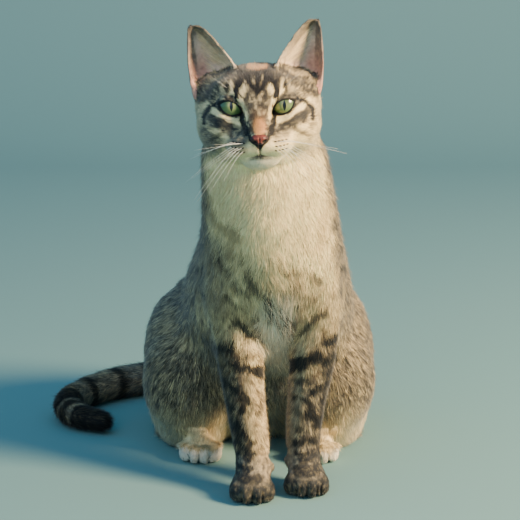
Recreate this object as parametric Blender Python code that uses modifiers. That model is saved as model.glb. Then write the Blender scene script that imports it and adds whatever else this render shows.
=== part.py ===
"""A domestic shorthair cat sitting upright on its haunches, life size, as separate solids.

Units are metres and +Z is up.  The cat faces -Y, and its own left side is at +X.
The origin lies on the floor, under the middle of the rump that the cat sits on.
The solids reach out to the tips of the coat.

The body is built whole: rounded masses and tapering limbs are joined, fused by a voxel
remesh, smoothed and thinned.  It is then parted with thin cuts into the pieces that a
person would name.  Ears, eyes and the lengths of the tail are made one by one.
"""

import math

import bmesh
import bpy
from mathutils import Euler, Matrix, Vector

# ---- driving sizes ---------------------------------------------------------------------
GAP = 0.0013  # space left between neighbouring lengths of the body
SLIVER = 0.0001  # points closer than this are one point after a cut
VOXEL = 0.0022  # size of the cells that fuse the body
COARSE = 0.0040  # the same for the broad masses of the torso
FINE = 0.0014  # the same for the head
HEAD_TRIANGLES = 1850
BODY_TRIANGLES = 9000  # before it is parted
RING_SIDES = 12
SWELL = 3 / (2 + math.cos(2 * math.pi / RING_SIDES))  # a cage stands off the skin it makes

RUMP_X = -0.001  # the haunches are centred here
CHEST_X = 0.009  # the chest stands a little to the cat's left of the haunches
EYE_LEVEL = Vector((-0.0017, -0.184, 0.3155))  # middle of the head, level with the eyes
HEAD_ROLL = math.radians(-3.0)  # the cat's left ear is the higher one
HEAD = Matrix.Translation(EYE_LEVEL) @ Matrix.Rotation(HEAD_ROLL, 4, "Y")

EYE_RADIUS = 0.0108
EYE_CENTRE = Vector((0.0203, -0.0195, 0.0))  # in the head's own axes
EYE_SLANT = math.radians(28)  # the outer corner is the higher one
EAR_TIP = Vector((0.0490, 0.004, 0.0605))
EAR_THICKNESS = 0.0026

# The torso from the floor up to the skull: x, half the width, then y and z of the point
# on the back and of the point on the belly.
TORSO = (
    (RUMP_X, 0.056, 0.058, -0.014, -0.042, -0.014),
    (RUMP_X, 0.070, 0.078, 0.026, -0.062, 0.008),
    (RUMP_X + 0.001, 0.078, 0.078, 0.070, -0.088, 0.028),
    (RUMP_X + 0.003, 0.080, 0.060, 0.112, -0.114, 0.058),
    (RUMP_X + 0.006, 0.078, 0.030, 0.149, -0.144, 0.090),
    (CHEST_X - 0.002, 0.071, -0.006, 0.182, -0.174, 0.122),
    (CHEST_X, 0.061, -0.042, 0.210, -0.199, 0.156),
    (CHEST_X, 0.057, -0.074, 0.235, -0.211, 0.190),
    (CHEST_X - 0.003, 0.054, -0.099, 0.259, -0.211, 0.222),
    (CHEST_X - 0.005, 0.0520, -0.117, 0.282, -0.206, 0.250),
    (CHEST_X - 0.008, 0.048, -0.130, 0.304, -0.200, 0.274),
    (CHEST_X - 0.010, 0.040, -0.142, 0.320, -0.196, 0.294),
)

# Each foreleg runs down from the shoulder: x, y, z, radius.
FORELEGS = {
    -1: (
        (-0.0240, -0.146, 0.176, 0.0240),
        (-0.0205, -0.154, 0.142, 0.0235),
        (-0.0165, -0.163, 0.110, 0.0200),
        (-0.0135, -0.172, 0.082, 0.0172),
        (-0.0100, -0.180, 0.058, 0.0154),
        (-0.0068, -0.188, 0.036, 0.0145),
        (-0.0065, -0.198, 0.016, 0.0135),
    ),
    1: (
        (0.0430, -0.142, 0.176, 0.0240),
        (0.0440, -0.148, 0.142, 0.0240),
        (0.0435, -0.156, 0.110, 0.0198),
        (0.0398, -0.163, 0.082, 0.0168),
        (0.0365, -0.169, 0.058, 0.0150),
        (0.0350, -0.175, 0.036, 0.0140),
        (0.0365, -0.185, 0.016, 0.0135),
    ),
}
SIDES = {-1: "right", 1: "left"}
FOREPAWS = {-1: (-0.0063, -0.2325), 1: (0.0373, -0.2165)}  # x and y of the toes' front
WRIST_HEIGHT = 0.036
ELBOW_HEIGHT = 0.110
HIND_TOE_FRONT = -0.1330

TAIL_PATH = (  # centre line from the rump to the tip: x, y, z, radius
    (0.002, 0.052, 0.034, 0.0190),
    (-0.030, 0.084, 0.0205, 0.0182),
    (-0.070, 0.094, 0.0165, 0.0174),
    (-0.108, 0.084, 0.0156, 0.0166),
    (-0.140, 0.064, 0.0150, 0.0160),
    (-0.1635, 0.036, 0.0142, 0.0152),
    (-0.1740, 0.002, 0.0132, 0.0144),
    (-0.1620, -0.026, 0.0124, 0.0134),
    (-0.1430, -0.0370, 0.0108, 0.0112),
)
TAIL_CUTS = (7, 5, 3)  # stations of the path, from the tip, where the tail is parted

COLOURS = {  # colour, roughness
    "ticked_coat": ((0.34, 0.29, 0.22), 0.85),
    "pale_coat": ((0.78, 0.68, 0.53), 0.85),
    "dark_coat": ((0.09, 0.08, 0.07), 0.85),
    "ear_skin": ((0.62, 0.42, 0.36), 0.7),
    "nose_leather": ((0.60, 0.25, 0.22), 0.5),
    "eye": ((0.38, 0.52, 0.25), 0.08),
}


# ---- Blender helpers -------------------------------------------------------------------
def clear_scene():
    for obj in list(bpy.data.objects):
        bpy.data.objects.remove(obj)


def material(name):
    found = bpy.data.materials.get(name)
    if found:
        return found
    made = bpy.data.materials.new(name)
    made.use_nodes = True
    shader = made.node_tree.nodes["Principled BSDF"]
    colour, roughness = COLOURS[name]
    shader.inputs["Base Color"].default_value = (*colour, 1.0)
    shader.inputs["Roughness"].default_value = roughness
    return made


def add_object(name, mesh, collection=None):
    obj = bpy.data.objects.new(name, mesh)
    (collection or bpy.context.scene.collection).objects.link(obj)
    return obj


def evaluated_mesh(obj):
    """A free mesh of the object as its modifiers shape it, in world space."""
    bpy.context.view_layer.update()
    graph = bpy.context.evaluated_depsgraph_get()
    mesh = bpy.data.meshes.new_from_object(obj.evaluated_get(graph))
    mesh.transform(obj.matrix_world)
    return mesh


def applied(obj):
    """The object with its modifiers and its place written into its mesh."""
    made = add_object(obj.name + "_applied", evaluated_mesh(obj))
    name = obj.name
    bpy.data.objects.remove(obj)
    made.name = name
    return made


def joined(name, objects):
    """One object that holds the meshes of several, which are removed."""
    together = bmesh.new()
    for obj in objects:
        together.from_mesh(evaluated_mesh(obj))
        bpy.data.objects.remove(obj)
    mesh = bpy.data.meshes.new(name)
    together.to_mesh(mesh)
    together.free()
    return add_object(name, mesh)


def boolean(obj, cutter, operation):
    """obj cut by, or kept inside, the cutter.  Both stay; a new object is returned."""
    copy = add_object("boolean", obj.data.copy())
    modifier = copy.modifiers.new("cut", "BOOLEAN")
    modifier.object = cutter
    modifier.operation = operation
    slivers = copy.modifiers.new("slivers", "WELD")
    slivers.merge_threshold = SLIVER
    return applied(copy)


# ---- shapes ----------------------------------------------------------------------------
def ellipsoid(centre, radii, turn=(0, 0, 0), frame=Matrix(), sides=20):
    """A rounded mass.  turn is in degrees about X, Y and Z, frame carries it to the world."""
    ball = bmesh.new()
    bmesh.ops.create_uvsphere(ball, u_segments=sides, v_segments=sides * 2 // 3, radius=1)
    mesh = bpy.data.meshes.new("mass")
    ball.to_mesh(mesh)
    ball.free()
    spin = Euler([math.radians(angle) for angle in turn]).to_matrix().to_4x4()
    mesh.transform(frame @ Matrix.Translation(centre) @ spin @ Matrix.Diagonal((*radii, 1)))
    return add_object("mass", mesh)


def limb(stations, frame=Matrix(), sides=4, steps=6):
    """A tapering limb through stations of x, y, z and radius, with flat ends."""
    curve = bpy.data.curves.new("limb", "CURVE")
    curve.dimensions = "3D"
    curve.bevel_depth = 1.0
    curve.bevel_resolution = sides
    curve.resolution_u = steps
    curve.use_fill_caps = True
    spline = curve.splines.new("BEZIER")
    spline.radius_interpolation = "CARDINAL"
    spline.bezier_points.add(len(stations) - 1)
    for point, (x, y, z, radius) in zip(spline.bezier_points, stations):
        point.co = frame @ Vector((x, y, z))
        point.radius = radius
        point.handle_left_type = point.handle_right_type = "AUTO"
    wire = add_object("limb", curve)
    mesh = evaluated_mesh(wire)
    bpy.data.objects.remove(wire)
    tidy = bmesh.new()
    tidy.from_mesh(mesh)
    bmesh.ops.remove_doubles(tidy, verts=tidy.verts, dist=1e-6)
    tidy.to_mesh(mesh)
    tidy.free()
    return add_object("limb", mesh)


def barrel(rings):
    """A smooth closed form through oval rings, each given as TORSO gives them."""
    cage = bmesh.new()
    loops = []
    for x, half_width, back_y, back_z, belly_y, belly_z in rings:
        back, belly = Vector((x, back_y, back_z)), Vector((x, belly_y, belly_z))
        middle, reach = (back + belly) / 2, (back - belly) / 2 * SWELL
        across = Vector((half_width * SWELL, 0, 0))
        angles = [2 * math.pi * i / RING_SIDES for i in range(RING_SIDES)]
        loops.append(
            [cage.verts.new(middle + reach * math.cos(a) + across * math.sin(a)) for a in angles]
        )
    for low, high in zip(loops, loops[1:]):
        for i in range(RING_SIDES):
            cage.faces.new((low[i - 1], low[i], high[i], high[i - 1]))
    cage.faces.new(loops[0])
    cage.faces.new(reversed(loops[-1]))
    bmesh.ops.recalc_face_normals(cage, faces=cage.faces)
    mesh = bpy.data.meshes.new("barrel")
    cage.to_mesh(mesh)
    cage.free()
    form = add_object("barrel", mesh)
    rounding = form.modifiers.new("rounding", "SUBSURF")
    rounding.levels = rounding.render_levels = 3
    return form


def box(low, high, frame=Matrix()):
    """A block between two corners, for cutting."""
    cube = bmesh.new()
    bmesh.ops.create_cube(cube, size=1)
    mesh = bpy.data.meshes.new("box")
    cube.to_mesh(mesh)
    cube.free()
    low, high = Vector(low), Vector(high)
    middle, size = (low + high) / 2, high - low
    mesh.transform(frame @ Matrix.Translation(middle) @ Matrix.Diagonal((*size, 1)))
    return add_object("box", mesh)


def fused(name, masses, voxel, smoothing):
    """The masses grown together into one smooth closed skin."""
    whole = joined(name, masses)
    remesh = whole.modifiers.new("fuse", "REMESH")
    remesh.mode = "VOXEL"
    remesh.voxel_size = voxel
    smooth = whole.modifiers.new("smooth", "SMOOTH")
    smooth.factor = 0.5
    smooth.iterations = smoothing
    return applied(whole)


def thinned(obj, triangles):
    """The object with about that many triangles, and no flap left hanging by an edge."""
    present = sum(len(face.vertices) - 2 for face in obj.data.polygons)
    thin = obj.modifiers.new("thin", "DECIMATE")
    thin.ratio = min(1.0, triangles / present)
    thinner = applied(obj)
    skin = bmesh.new()
    skin.from_mesh(thinner.data)
    flaps = {face for edge in skin.edges if edge.is_boundary for face in edge.link_faces}
    bmesh.ops.delete(skin, geom=list(flaps), context="FACES")
    skin.to_mesh(thinner.data)
    skin.free()
    return thinner


def above_floor(obj):
    """What is left of the object above the floor, so that it stands on a small flat."""
    floor = box((-1, -1, -1), (1, 1, 0))
    kept = boolean(obj, floor, "DIFFERENCE")
    kept.name = obj.name
    bpy.data.objects.remove(floor)
    bpy.data.objects.remove(obj)
    return kept


# ---- the body's masses -----------------------------------------------------------------
def thigh_masses(side):
    """The folded hind leg: a broad oval thigh, its knee, and the shank behind it."""
    x = RUMP_X + side * 0.057
    return [
        ellipsoid((x - side * 0.002, -0.022, 0.068), (0.049, 0.084, 0.073), (12, 0, 0)),
        ellipsoid((x + side * 0.001, -0.066, 0.058), (0.045, 0.054, 0.056)),  # knee
        ellipsoid((x + side * 0.001, -0.030, 0.020), (0.043, 0.074, 0.034)),  # shank
    ]


def hind_foot_masses(side):
    x = RUMP_X + side * 0.0495
    metatarsus = limb(
        (
            (x + side * 0.004, -0.010, 0.012, 0.014),
            (x + side * 0.002, -0.060, 0.013, 0.014),
            (x, -0.112, 0.011, 0.0125),
        )
    )
    return [metatarsus] + toes(x, HIND_TOE_FRONT, length=0.0125)


def toes(x, front, length):
    """Four rounded toes, the middle pair ahead of the outer pair."""
    masses = []
    for across, back, radius in (
        (-0.0130, 0.0070, 0.0063),
        (-0.0047, 0.0008, 0.0073),
        (0.0047, 0.0000, 0.0073),
        (0.0130, 0.0055, 0.0063),
    ):
        centre = (x + across, front + back + length, 0.0078)
        masses.append(ellipsoid(centre, (radius, length, 0.0098)))
    return masses


def shoulder_masses(side):
    x, y, z, radius = FORELEGS[side][0]
    _, elbow_y, elbow_z, _ = FORELEGS[side][2]
    return [
        ellipsoid((x, y + 0.002, z - 0.012), (radius + 0.001, 0.040, 0.054), (-8, 0, 0)),
        ellipsoid((x, elbow_y + 0.018, elbow_z + 0.004), (0.0170, 0.020, 0.026), (-20, 0, 0)),
    ]


def forepaw_masses(side):
    x, front = FOREPAWS[side]
    palm = ellipsoid((x, front + 0.027, 0.0110), (0.0170, 0.021, 0.0135))
    dewclaw = ellipsoid((x - side * 0.0170, front + 0.036, 0.022), (0.0045, 0.0055, 0.007))
    wrist = limb((*FORELEGS[side][-3:-1], (x, front + 0.030, 0.014, 0.0140)))
    return [palm, dewclaw, wrist] + toes(x, front, length=0.0125)


# ---- the head --------------------------------------------------------------------------
def head_masses():
    """Skull, cheeks, muzzle and jaw, in the head's own axes, carried to the world."""
    masses = [
        ((0, 0.006, -0.001), (0.0470, 0.042, 0.0315)),  # braincase
        ((0, -0.006, 0.0060), (0.0360, 0.0225, 0.0225)),  # forehead
        ((0, 0.014, -0.030), (0.0450, 0.036, 0.0280)),  # throat
        ((0, 0.017, -0.020), (0.0430, 0.034, 0.0310)),  # nape
        ((0, -0.017, -0.0160), (0.0330, 0.0175, 0.0230)),  # face
        ((0, -0.0270, -0.0410), (0.0165, 0.0140, 0.0098)),  # chin
        ((0, -0.017, -0.0330), (0.0240, 0.0220, 0.0155)),  # lower jaw
        ((0, -0.0430, -0.0220), (0.0085, 0.0085, 0.0068)),  # nose
        ((0, -0.0360, -0.0270), (0.0160, 0.0110, 0.0125)),  # between the whisker pads
    ]
    for side in (-1, 1):
        masses += [
            ((side * 0.0230, 0.000, -0.0170), (0.0270, 0.034, 0.0270)),  # cheek
            ((side * 0.0190, 0.006, -0.0270), (0.0275, 0.031, 0.0215)),  # jowl
            ((side * 0.0340, 0.006, -0.0040), (0.0168, 0.023, 0.0200)),  # temple
            ((side * 0.0325, 0.009, 0.0085), (0.0158, 0.019, 0.0150)),  # root of the ear
            ((side * 0.0240, -0.0150, -0.0120), (0.0190, 0.0130, 0.0140)),  # cheekbone
            ((side * 0.0170, -0.0142, 0.0130), (0.0200, 0.0125, 0.0095)),  # brow
            ((side * 0.0115, -0.0325, -0.0290), (0.0150, 0.0135, 0.0105)),  # whisker pad
        ]
    bridge = limb(
        ((0, -0.010, 0.010, 0.0170), (0, -0.0265, -0.004, 0.0150), (0, -0.0390, -0.0175, 0.0110)),
        frame=HEAD,
    )
    return [ellipsoid(c, r, frame=HEAD) for c, r in masses] + [bridge]


def eye(side, grow=0.0):
    centre = (side * EYE_CENTRE.x, EYE_CENTRE.y, EYE_CENTRE.z)
    return ellipsoid(centre, (EYE_RADIUS + grow,) * 3, frame=HEAD, sides=16)


def eye_opening(side):
    """The hollow between the lids, in front of the eye."""
    centre = (side * EYE_CENTRE.x, EYE_CENTRE.y - 0.0125, EYE_CENTRE.z)
    turn = (0, -side * math.degrees(EYE_SLANT), 0)
    return ellipsoid(centre, (0.0100, 0.0070, 0.0070), turn, HEAD, sides=16)


def ear(side):
    """A cupped sheet between an inner and an outer edge, open to the front, with thickness."""
    sheet = bmesh.new()
    bmesh.ops.create_grid(sheet, x_segments=9, y_segments=9, size=1)
    for vert in sheet.verts:
        across, up = vert.co.x, (vert.co.y + 1) / 2
        vert.co = HEAD @ ear_point(side, across, up)
    mesh = bpy.data.meshes.new("ear")
    sheet.to_mesh(mesh)
    sheet.free()
    obj = add_object("ear", mesh)
    thicken = obj.modifiers.new("thickness", "SOLIDIFY")
    thicken.thickness = EAR_THICKNESS
    thicken.offset = 0
    return applied(obj)


def ear_point(side, across, up):
    """across runs from -1 at the inner edge to 1 at the outer, up from 0 at the root to 1."""
    bow, crest = math.sin(math.pi * up), 3.0 * up ** 2 * (1 - up) ** 0.4
    inner = Vector((0.0135, -0.005, 0.0220)).lerp(EAR_TIP, up)
    outer = Vector((0.0480, 0.000, 0.0040)).lerp(EAR_TIP, up)
    inner += Vector((0.0, -0.002, 0.0026)) * bow + Vector((-0.0026, 0.0, 0.0024)) * crest
    outer += Vector((0.0022, 0.0, 0.0)) * bow
    inner.x -= 0.0022 * (1 - up) + 0.0012  # the tip stays round
    outer.x += 0.0012
    middle, half = (inner + outer) / 2, (outer - inner) / 2
    cup = 0.0200 * (1 - up) ** 0.6 + 0.0012  # how far the back stands off the edges
    backwards = Vector((0.12, 1.0, 0.05)).normalized()
    angle = across * math.pi / 2
    point = middle + half * math.sin(angle) + backwards * cup * math.cos(angle)
    return Vector((side * point.x, point.y, point.z))


# ---- parting the body ------------------------------------------------------------------
def ball_region(centre, radii, frame=Matrix()):
    """Makes the ball that a piece lies in, grown all round by what it is asked for."""
    return lambda grow: ellipsoid(centre, [r + grow for r in radii], frame=frame, sides=12)


def box_region(low, high, frame=Matrix()):
    return lambda grow: box([v - grow for v in low], [v + grow for v in high], frame)


def limb_region(stations, margin):
    """A tube that follows a leg a little way off, longer at both ends by what it grows."""

    def grown(grow):
        path = [Vector(station[:3]) for station in stations]
        path[0] += (path[0] - path[1]).normalized() * grow
        path[-1] += (path[-1] - path[-2]).normalized() * grow
        radii = [station[3] + margin + grow for station in stations]
        return limb([(*point, radius) for point, radius in zip(path, radii)], sides=2, steps=2)

    return grown


def slope(y, z, degrees):
    """A frame at that height, tilted so that its level plane rises towards the back."""
    return Matrix.Translation((0, y, z)) @ Matrix.Rotation(math.radians(degrees), 4, "X")


def tail_end(station):
    """The part of the tail beyond a station of its path."""
    here, beyond = (Vector(TAIL_PATH[i][:3]) for i in (station, station + 1))
    before = Vector(TAIL_PATH[station - 1][:3])
    along = beyond - before
    frame = Matrix.Translation(here) @ Matrix.Rotation(math.atan2(along.y, along.x), 4, "Z")
    return box_region((0, -0.045, -0.05), (0.090, 0.045, 0.05), frame)


def parted(body, region):
    """Cuts the region out of the body: the piece, and what is left of the body."""
    inside, around = region(0.0), region(GAP)
    piece = boolean(body, inside, "INTERSECT")
    rest = boolean(body, around, "DIFFERENCE")
    for obj in (inside, around, body):
        bpy.data.objects.remove(obj)
    return piece, rest


def cut(obj, cutter):
    """The object without what the cutter takes away.  Both are used up."""
    left = boolean(obj, cutter, "DIFFERENCE")
    bpy.data.objects.remove(obj)
    bpy.data.objects.remove(cutter)
    return left


def grown(obj, amount):
    """A copy whose surface stands off by the amount all round."""
    copy = add_object("grown", obj.data.copy())
    offset = copy.modifiers.new("offset", "DISPLACE")
    offset.strength = amount
    offset.mid_level = 0.0
    return applied(copy)


def finish(obj, name, slot):
    obj.name = name
    obj.data.name = name
    obj.data.materials.clear()
    obj.data.materials.append(material(slot))
    obj.data.shade_smooth()
    obj.data.set_sharp_from_angle(angle=math.radians(50))
    for collection in list(obj.users_collection):
        collection.objects.unlink(obj)
    bpy.data.collections["cat"].objects.link(obj)


# ---- the whole cat ---------------------------------------------------------------------
def body_masses():
    torso = [barrel(TORSO)]
    for side in SIDES:
        torso += thigh_masses(side) + shoulder_masses(side)
    masses = [fused("torso", torso, COARSE, 10), limb(TAIL_PATH, sides=6)]
    masses.append(ellipsoid(TAIL_PATH[-1][:3], [TAIL_PATH[-1][3]] * 3))
    for side in SIDES:
        masses += hind_foot_masses(side) + [limb(FORELEGS[side])] + forepaw_masses(side)
    return masses + [fused("head", head_masses(), FINE, 14)]


def part_legs(body):
    """Parts the legs from the body, which is returned."""
    for side, word in SIDES.items():
        x, front = FOREPAWS[side]
        low, high = (x - 0.0215, front - 0.010, -0.010), (x + 0.0215, front + 0.062, WRIST_HEIGHT)
        paw, body = parted(body, box_region(low, high))
        forearm, body = parted(body, limb_region(FORELEGS[side][2:], 0.004))
        centre = (FORELEGS[side][0][0] + side * 0.006, FORELEGS[side][0][1] - 0.004, 0.150)
        upper_arm, body = parted(body, ball_region(centre, (0.032, 0.046, 0.062)))
        x = RUMP_X + side * 0.0495
        low, high = (x - 0.0215, -0.150, -0.010), (x + 0.0215, -0.106, 0.026)
        foot, body = parted(body, box_region(low, high))
        centre = (RUMP_X + side * 0.082, -0.024, 0.064)
        thigh, body = parted(body, ball_region(centre, (0.056, 0.092, 0.084)))
        finish(thinned(paw, 320), "forepaw_" + word, "dark_coat")
        finish(thinned(forearm, 200), "forearm_" + word, "ticked_coat")
        finish(thinned(upper_arm, 240), "upper_arm_" + word, "ticked_coat")
        finish(thinned(foot, 240), "hind_foot_" + word, "pale_coat")
        finish(thinned(thigh, 480), "thigh_" + word, "ticked_coat")
    return body


def part_tail(body):
    """Parts the lengths of the tail from the body, which is returned."""
    regions = [tail_end(station) for station in TAIL_CUTS]
    regions.append(ball_region((-0.078, 0.098, 0.016), (0.062, 0.036, 0.045)))
    for number, region in zip(range(len(regions), 0, -1), regions):
        piece, body = parted(body, region)
        finish(thinned(piece, 180), f"tail_{number}", "dark_coat")
    return body


def main():
    clear_scene()
    bpy.context.scene.collection.children.link(bpy.data.collections.new("cat"))
    whole = fused("body", body_masses(), VOXEL, 4)
    low, high = (-0.1, -0.1, 0.0), (0.1, 0.1, 0.12)
    head, body = parted(whole, box_region(low, high, slope(-0.180, 0.279, 24)))
    neck, body = parted(body, box_region(low, high, slope(-0.150, 0.226, 20)))
    head, body = thinned(head, HEAD_TRIANGLES), thinned(body, BODY_TRIANGLES)
    trunk = part_tail(part_legs(above_floor(body)))
    finish(thinned(neck, 320), "neck", "pale_coat")
    finish(thinned(trunk, 1300), "trunk", "ticked_coat")

    for side, word in SIDES.items():
        finish(cut(ear(side), grown(head, 1.5 * GAP)), "ear_" + word, "ear_skin")
    nose, head = parted(head, ball_region((0, -0.0500, -0.0215), (0.0075, 0.0065, 0.0052), HEAD))
    finish(nose, "nose", "nose_leather")
    for side, word in SIDES.items():
        head = cut(cut(head, eye(side, GAP)), eye_opening(side))
        finish(eye(side), "eye_" + word, "eye")
    finish(head, "head", "ticked_coat")


main()
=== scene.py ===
"""The sitting cat: one skin, a coat of mesh tufts, eyes, nose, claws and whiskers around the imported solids."""

import math

import bmesh
import bpy
import numpy as np
from mathutils import Matrix, Vector
from mathutils.bvhtree import BVHTree


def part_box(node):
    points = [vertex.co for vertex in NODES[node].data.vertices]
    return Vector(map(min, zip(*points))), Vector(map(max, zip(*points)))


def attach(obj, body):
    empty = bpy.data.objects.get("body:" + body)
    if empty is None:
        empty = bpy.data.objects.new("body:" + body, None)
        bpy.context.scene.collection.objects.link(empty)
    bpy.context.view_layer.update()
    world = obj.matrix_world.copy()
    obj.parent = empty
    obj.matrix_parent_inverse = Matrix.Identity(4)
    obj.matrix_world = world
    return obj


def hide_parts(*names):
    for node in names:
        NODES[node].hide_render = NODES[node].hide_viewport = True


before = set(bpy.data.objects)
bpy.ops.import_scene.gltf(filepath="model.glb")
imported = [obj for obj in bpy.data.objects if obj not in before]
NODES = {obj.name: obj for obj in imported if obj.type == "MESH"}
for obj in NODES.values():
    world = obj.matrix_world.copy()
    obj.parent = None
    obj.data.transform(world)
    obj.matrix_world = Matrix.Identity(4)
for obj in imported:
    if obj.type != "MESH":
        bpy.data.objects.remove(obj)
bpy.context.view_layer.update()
MM = 0.001

# ---------------------------------------------------------------- the head's own frame and the eyes
EYE_LEVEL = Vector((-0.0017, -0.184, 0.3155))
HEAD = Matrix.Translation(EYE_LEVEL) @ Matrix.Rotation(math.radians(-3.0), 4, "Y")
HEAD_TURN = np.array(HEAD.to_3x3())
HEAD_PLACE = np.array(EYE_LEVEL)
EYE_RADIUS = 0.0108
EYE_SIDE = 0.0203
EYE_DEPTH = -0.0195
LID_SLANT = {-1: math.radians(24), 1: math.radians(28)}
LID_AIM = {-1: (-0.085, -0.10), 1: (-0.10, -0.19)}  # across and up, where the slit between the lids looks
LID_WIDTH = 0.82  # half the slit's length, in eye radii, as are the next three
LID_AXIS = -0.04
LID_UPPER = 0.46
LID_LOWER = 0.33
LID_THICKNESS = 0.0009
LID_SINK = 0.0016  # how far the skin goes into the eyeball between the lids
EAR_INNER = np.array((0.0135, -0.005, 0.0220))
EAR_OUTER = np.array((0.0480, 0.0, 0.0040))
EAR_TIP = np.array((0.0490, 0.004, 0.0605))
# The tail's middle line, from the rump to the tip
TAIL = np.array((
    (0.002, 0.052, 0.034), (-0.030, 0.084, 0.0205), (-0.070, 0.094, 0.0165),
    (-0.108, 0.084, 0.0156), (-0.140, 0.064, 0.0150), (-0.1635, 0.036, 0.0142),
    (-0.1740, 0.002, 0.0132), (-0.1620, -0.026, 0.0124), (-0.1430, -0.0370, 0.0108)))


def in_head(points):
    """World points in the head's own frame, in millimetres: x to the cat's left, y back, z up."""
    return (points - HEAD_PLACE) @ HEAD_TURN / MM


def from_head(points):
    """Points of the head's own frame, in millimetres, in the world."""
    return np.asarray(points, float) * MM @ HEAD_TURN.T + HEAD_PLACE


def unit(v):
    return v / np.maximum(np.linalg.norm(v, axis=-1, keepdims=True), 1e-12)


def along_skin(v, normal):
    """The directions v turned into the surface with these normals."""
    return unit(v - normal * np.sum(v * normal, axis=1)[:, None])


def field(x, y, z):
    """One vector for each point, from numbers or from one value for each point."""
    return np.stack(np.broadcast_arrays(x, y, z), axis=1)


def bell(*offsets):
    """1 where all the offsets are zero, falling to 0 beyond 1."""
    return np.exp(-sum(v ** 2 for v in offsets))


def ramp(value, low, high):
    """From 0 at low to 1 at high, smooth at both ends."""
    t = np.clip((value - low) / (high - low), 0.0, 1.0)
    return t * t * (3.0 - 2.0 * t)


def lattice(cell, seed):
    """A number from -1 to 1 for each cell, always the same for one seed."""
    h = (cell[..., 0] * 374761393 + cell[..., 1] * 668265263 + cell[..., 2] * 1442695041 + seed * 974634777)
    h = h & 0xFFFFFFFF
    h = ((h ^ (h >> 13)) * 1274126177) & 0xFFFFFFFF
    return ((h ^ (h >> 16)) & 0xFFFF) / 32767.5 - 1.0


def noise(points, size, seed=0):
    """Smooth noise from -1 to 1 with features of the given size."""
    q = points / size
    cell = np.floor(q).astype(np.int64)
    f = q - cell
    f = f * f * (3.0 - 2.0 * f)
    total = np.zeros(len(points))
    for corner in range(8):
        step = np.array((corner & 1, corner >> 1 & 1, corner >> 2 & 1))
        weight = np.prod(np.where(step == 1, f, 1.0 - f), axis=1)
        total += weight * lattice(cell + step, seed)
    return total


# ---------------------------------------------------------------- the skin
FLESH = sorted(n for n in NODES if not n.startswith("eye"))
PAWS = ("forepaw_left", "forepaw_right", "hind_foot_left", "hind_foot_right")
PAW_SHIFT = {"forepaw_left": 0.85, "forepaw_right": -1.0, "hind_foot_left": 0.0, "hind_foot_right": 0.0}
TOE_GAPS = ((-8.85, 0.10), (0.0, 0.0), (8.85, -0.10))  # from the paw's middle in mm, and how they spread
FILL = FLESH + ["eye_left", "eye_right"]
SWELL = 0.0008  # what the solids grow before they are joined, to close the gaps between them
SKIN_VOXEL = 0.0021


def paw_place(name):
    """The middle of a paw's toes across, and the paw's front, in metres."""
    low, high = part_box(name)
    return (low[0] + high[0]) / 2 + PAW_SHIFT[name] * MM, low[1]


def mesh_from(bm, name):
    mesh = bpy.data.meshes.new(name)
    bm.to_mesh(mesh)
    bm.free()
    return mesh


def in_scene(name, data):
    ob = bpy.data.objects.new(name, data)
    bpy.context.scene.collection.objects.link(ob)
    return ob


def swollen(name, distance):
    """A node's solid, with its surface moved out."""
    bm = welded(name)
    bm.normal_update()
    for v in bm.verts:
        v.co += v.normal * distance
    return mesh_from(bm, "part")


def welded(name):
    """A node's mesh with its corners joined and its faces turned out."""
    bm = bmesh.new()
    bm.from_mesh(NODES[name].data)
    bmesh.ops.remove_doubles(bm, verts=bm.verts, dist=1e-6)
    bmesh.ops.recalc_face_normals(bm, faces=bm.faces)
    return bm


def modified(mesh, kind, **settings):
    """The mesh after one modifier, as a new mesh."""
    ob = in_scene("work", mesh)
    modifier = ob.modifiers.new("m", kind)
    for key, value in settings.items():
        setattr(modifier, key, value)
    deps = bpy.context.evaluated_depsgraph_get()
    made = bpy.data.meshes.new_from_object(ob.evaluated_get(deps))
    bpy.data.objects.remove(ob)
    return made


def flesh_tree():
    """A search tree over the solids' faces, and the node each face belongs to."""
    verts, faces, owner = [], [], []
    for index, name in enumerate(FILL):
        bm = welded(name)
        base = len(verts)
        verts += [v.co.copy() for v in bm.verts]
        faces += [[base + v.index for v in f.verts] for f in bm.faces]
        owner += [index] * len(bm.faces)
        bm.free()
    return BVHTree.FromPolygons(verts, faces), owner


def raw_skin():
    """All the flesh joined into one closed surface."""
    joined = bmesh.new()
    for name in FILL:
        part = swollen(name, SWELL)
        joined.from_mesh(part)
        bpy.data.meshes.remove(part)
    return modified(mesh_from(joined, "flesh"), "REMESH", mode="VOXEL", voxel_size=SKIN_VOXEL)


def read(group, key, width=3, kind=float):
    """One property of all of a mesh's vertices, edges, faces or corners."""
    values = np.empty(len(group) * width, kind)
    group.foreach_get(key, values)
    return values.reshape(-1, width)


def coords(mesh):
    return read(mesh.vertices, "co")


def set_coords(mesh, co):
    mesh.vertices.foreach_set("co", np.ascontiguousarray(co, float).ravel())
    mesh.update()


def normals_of(mesh):
    return read(mesh.vertex_normals, "vector")


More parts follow.
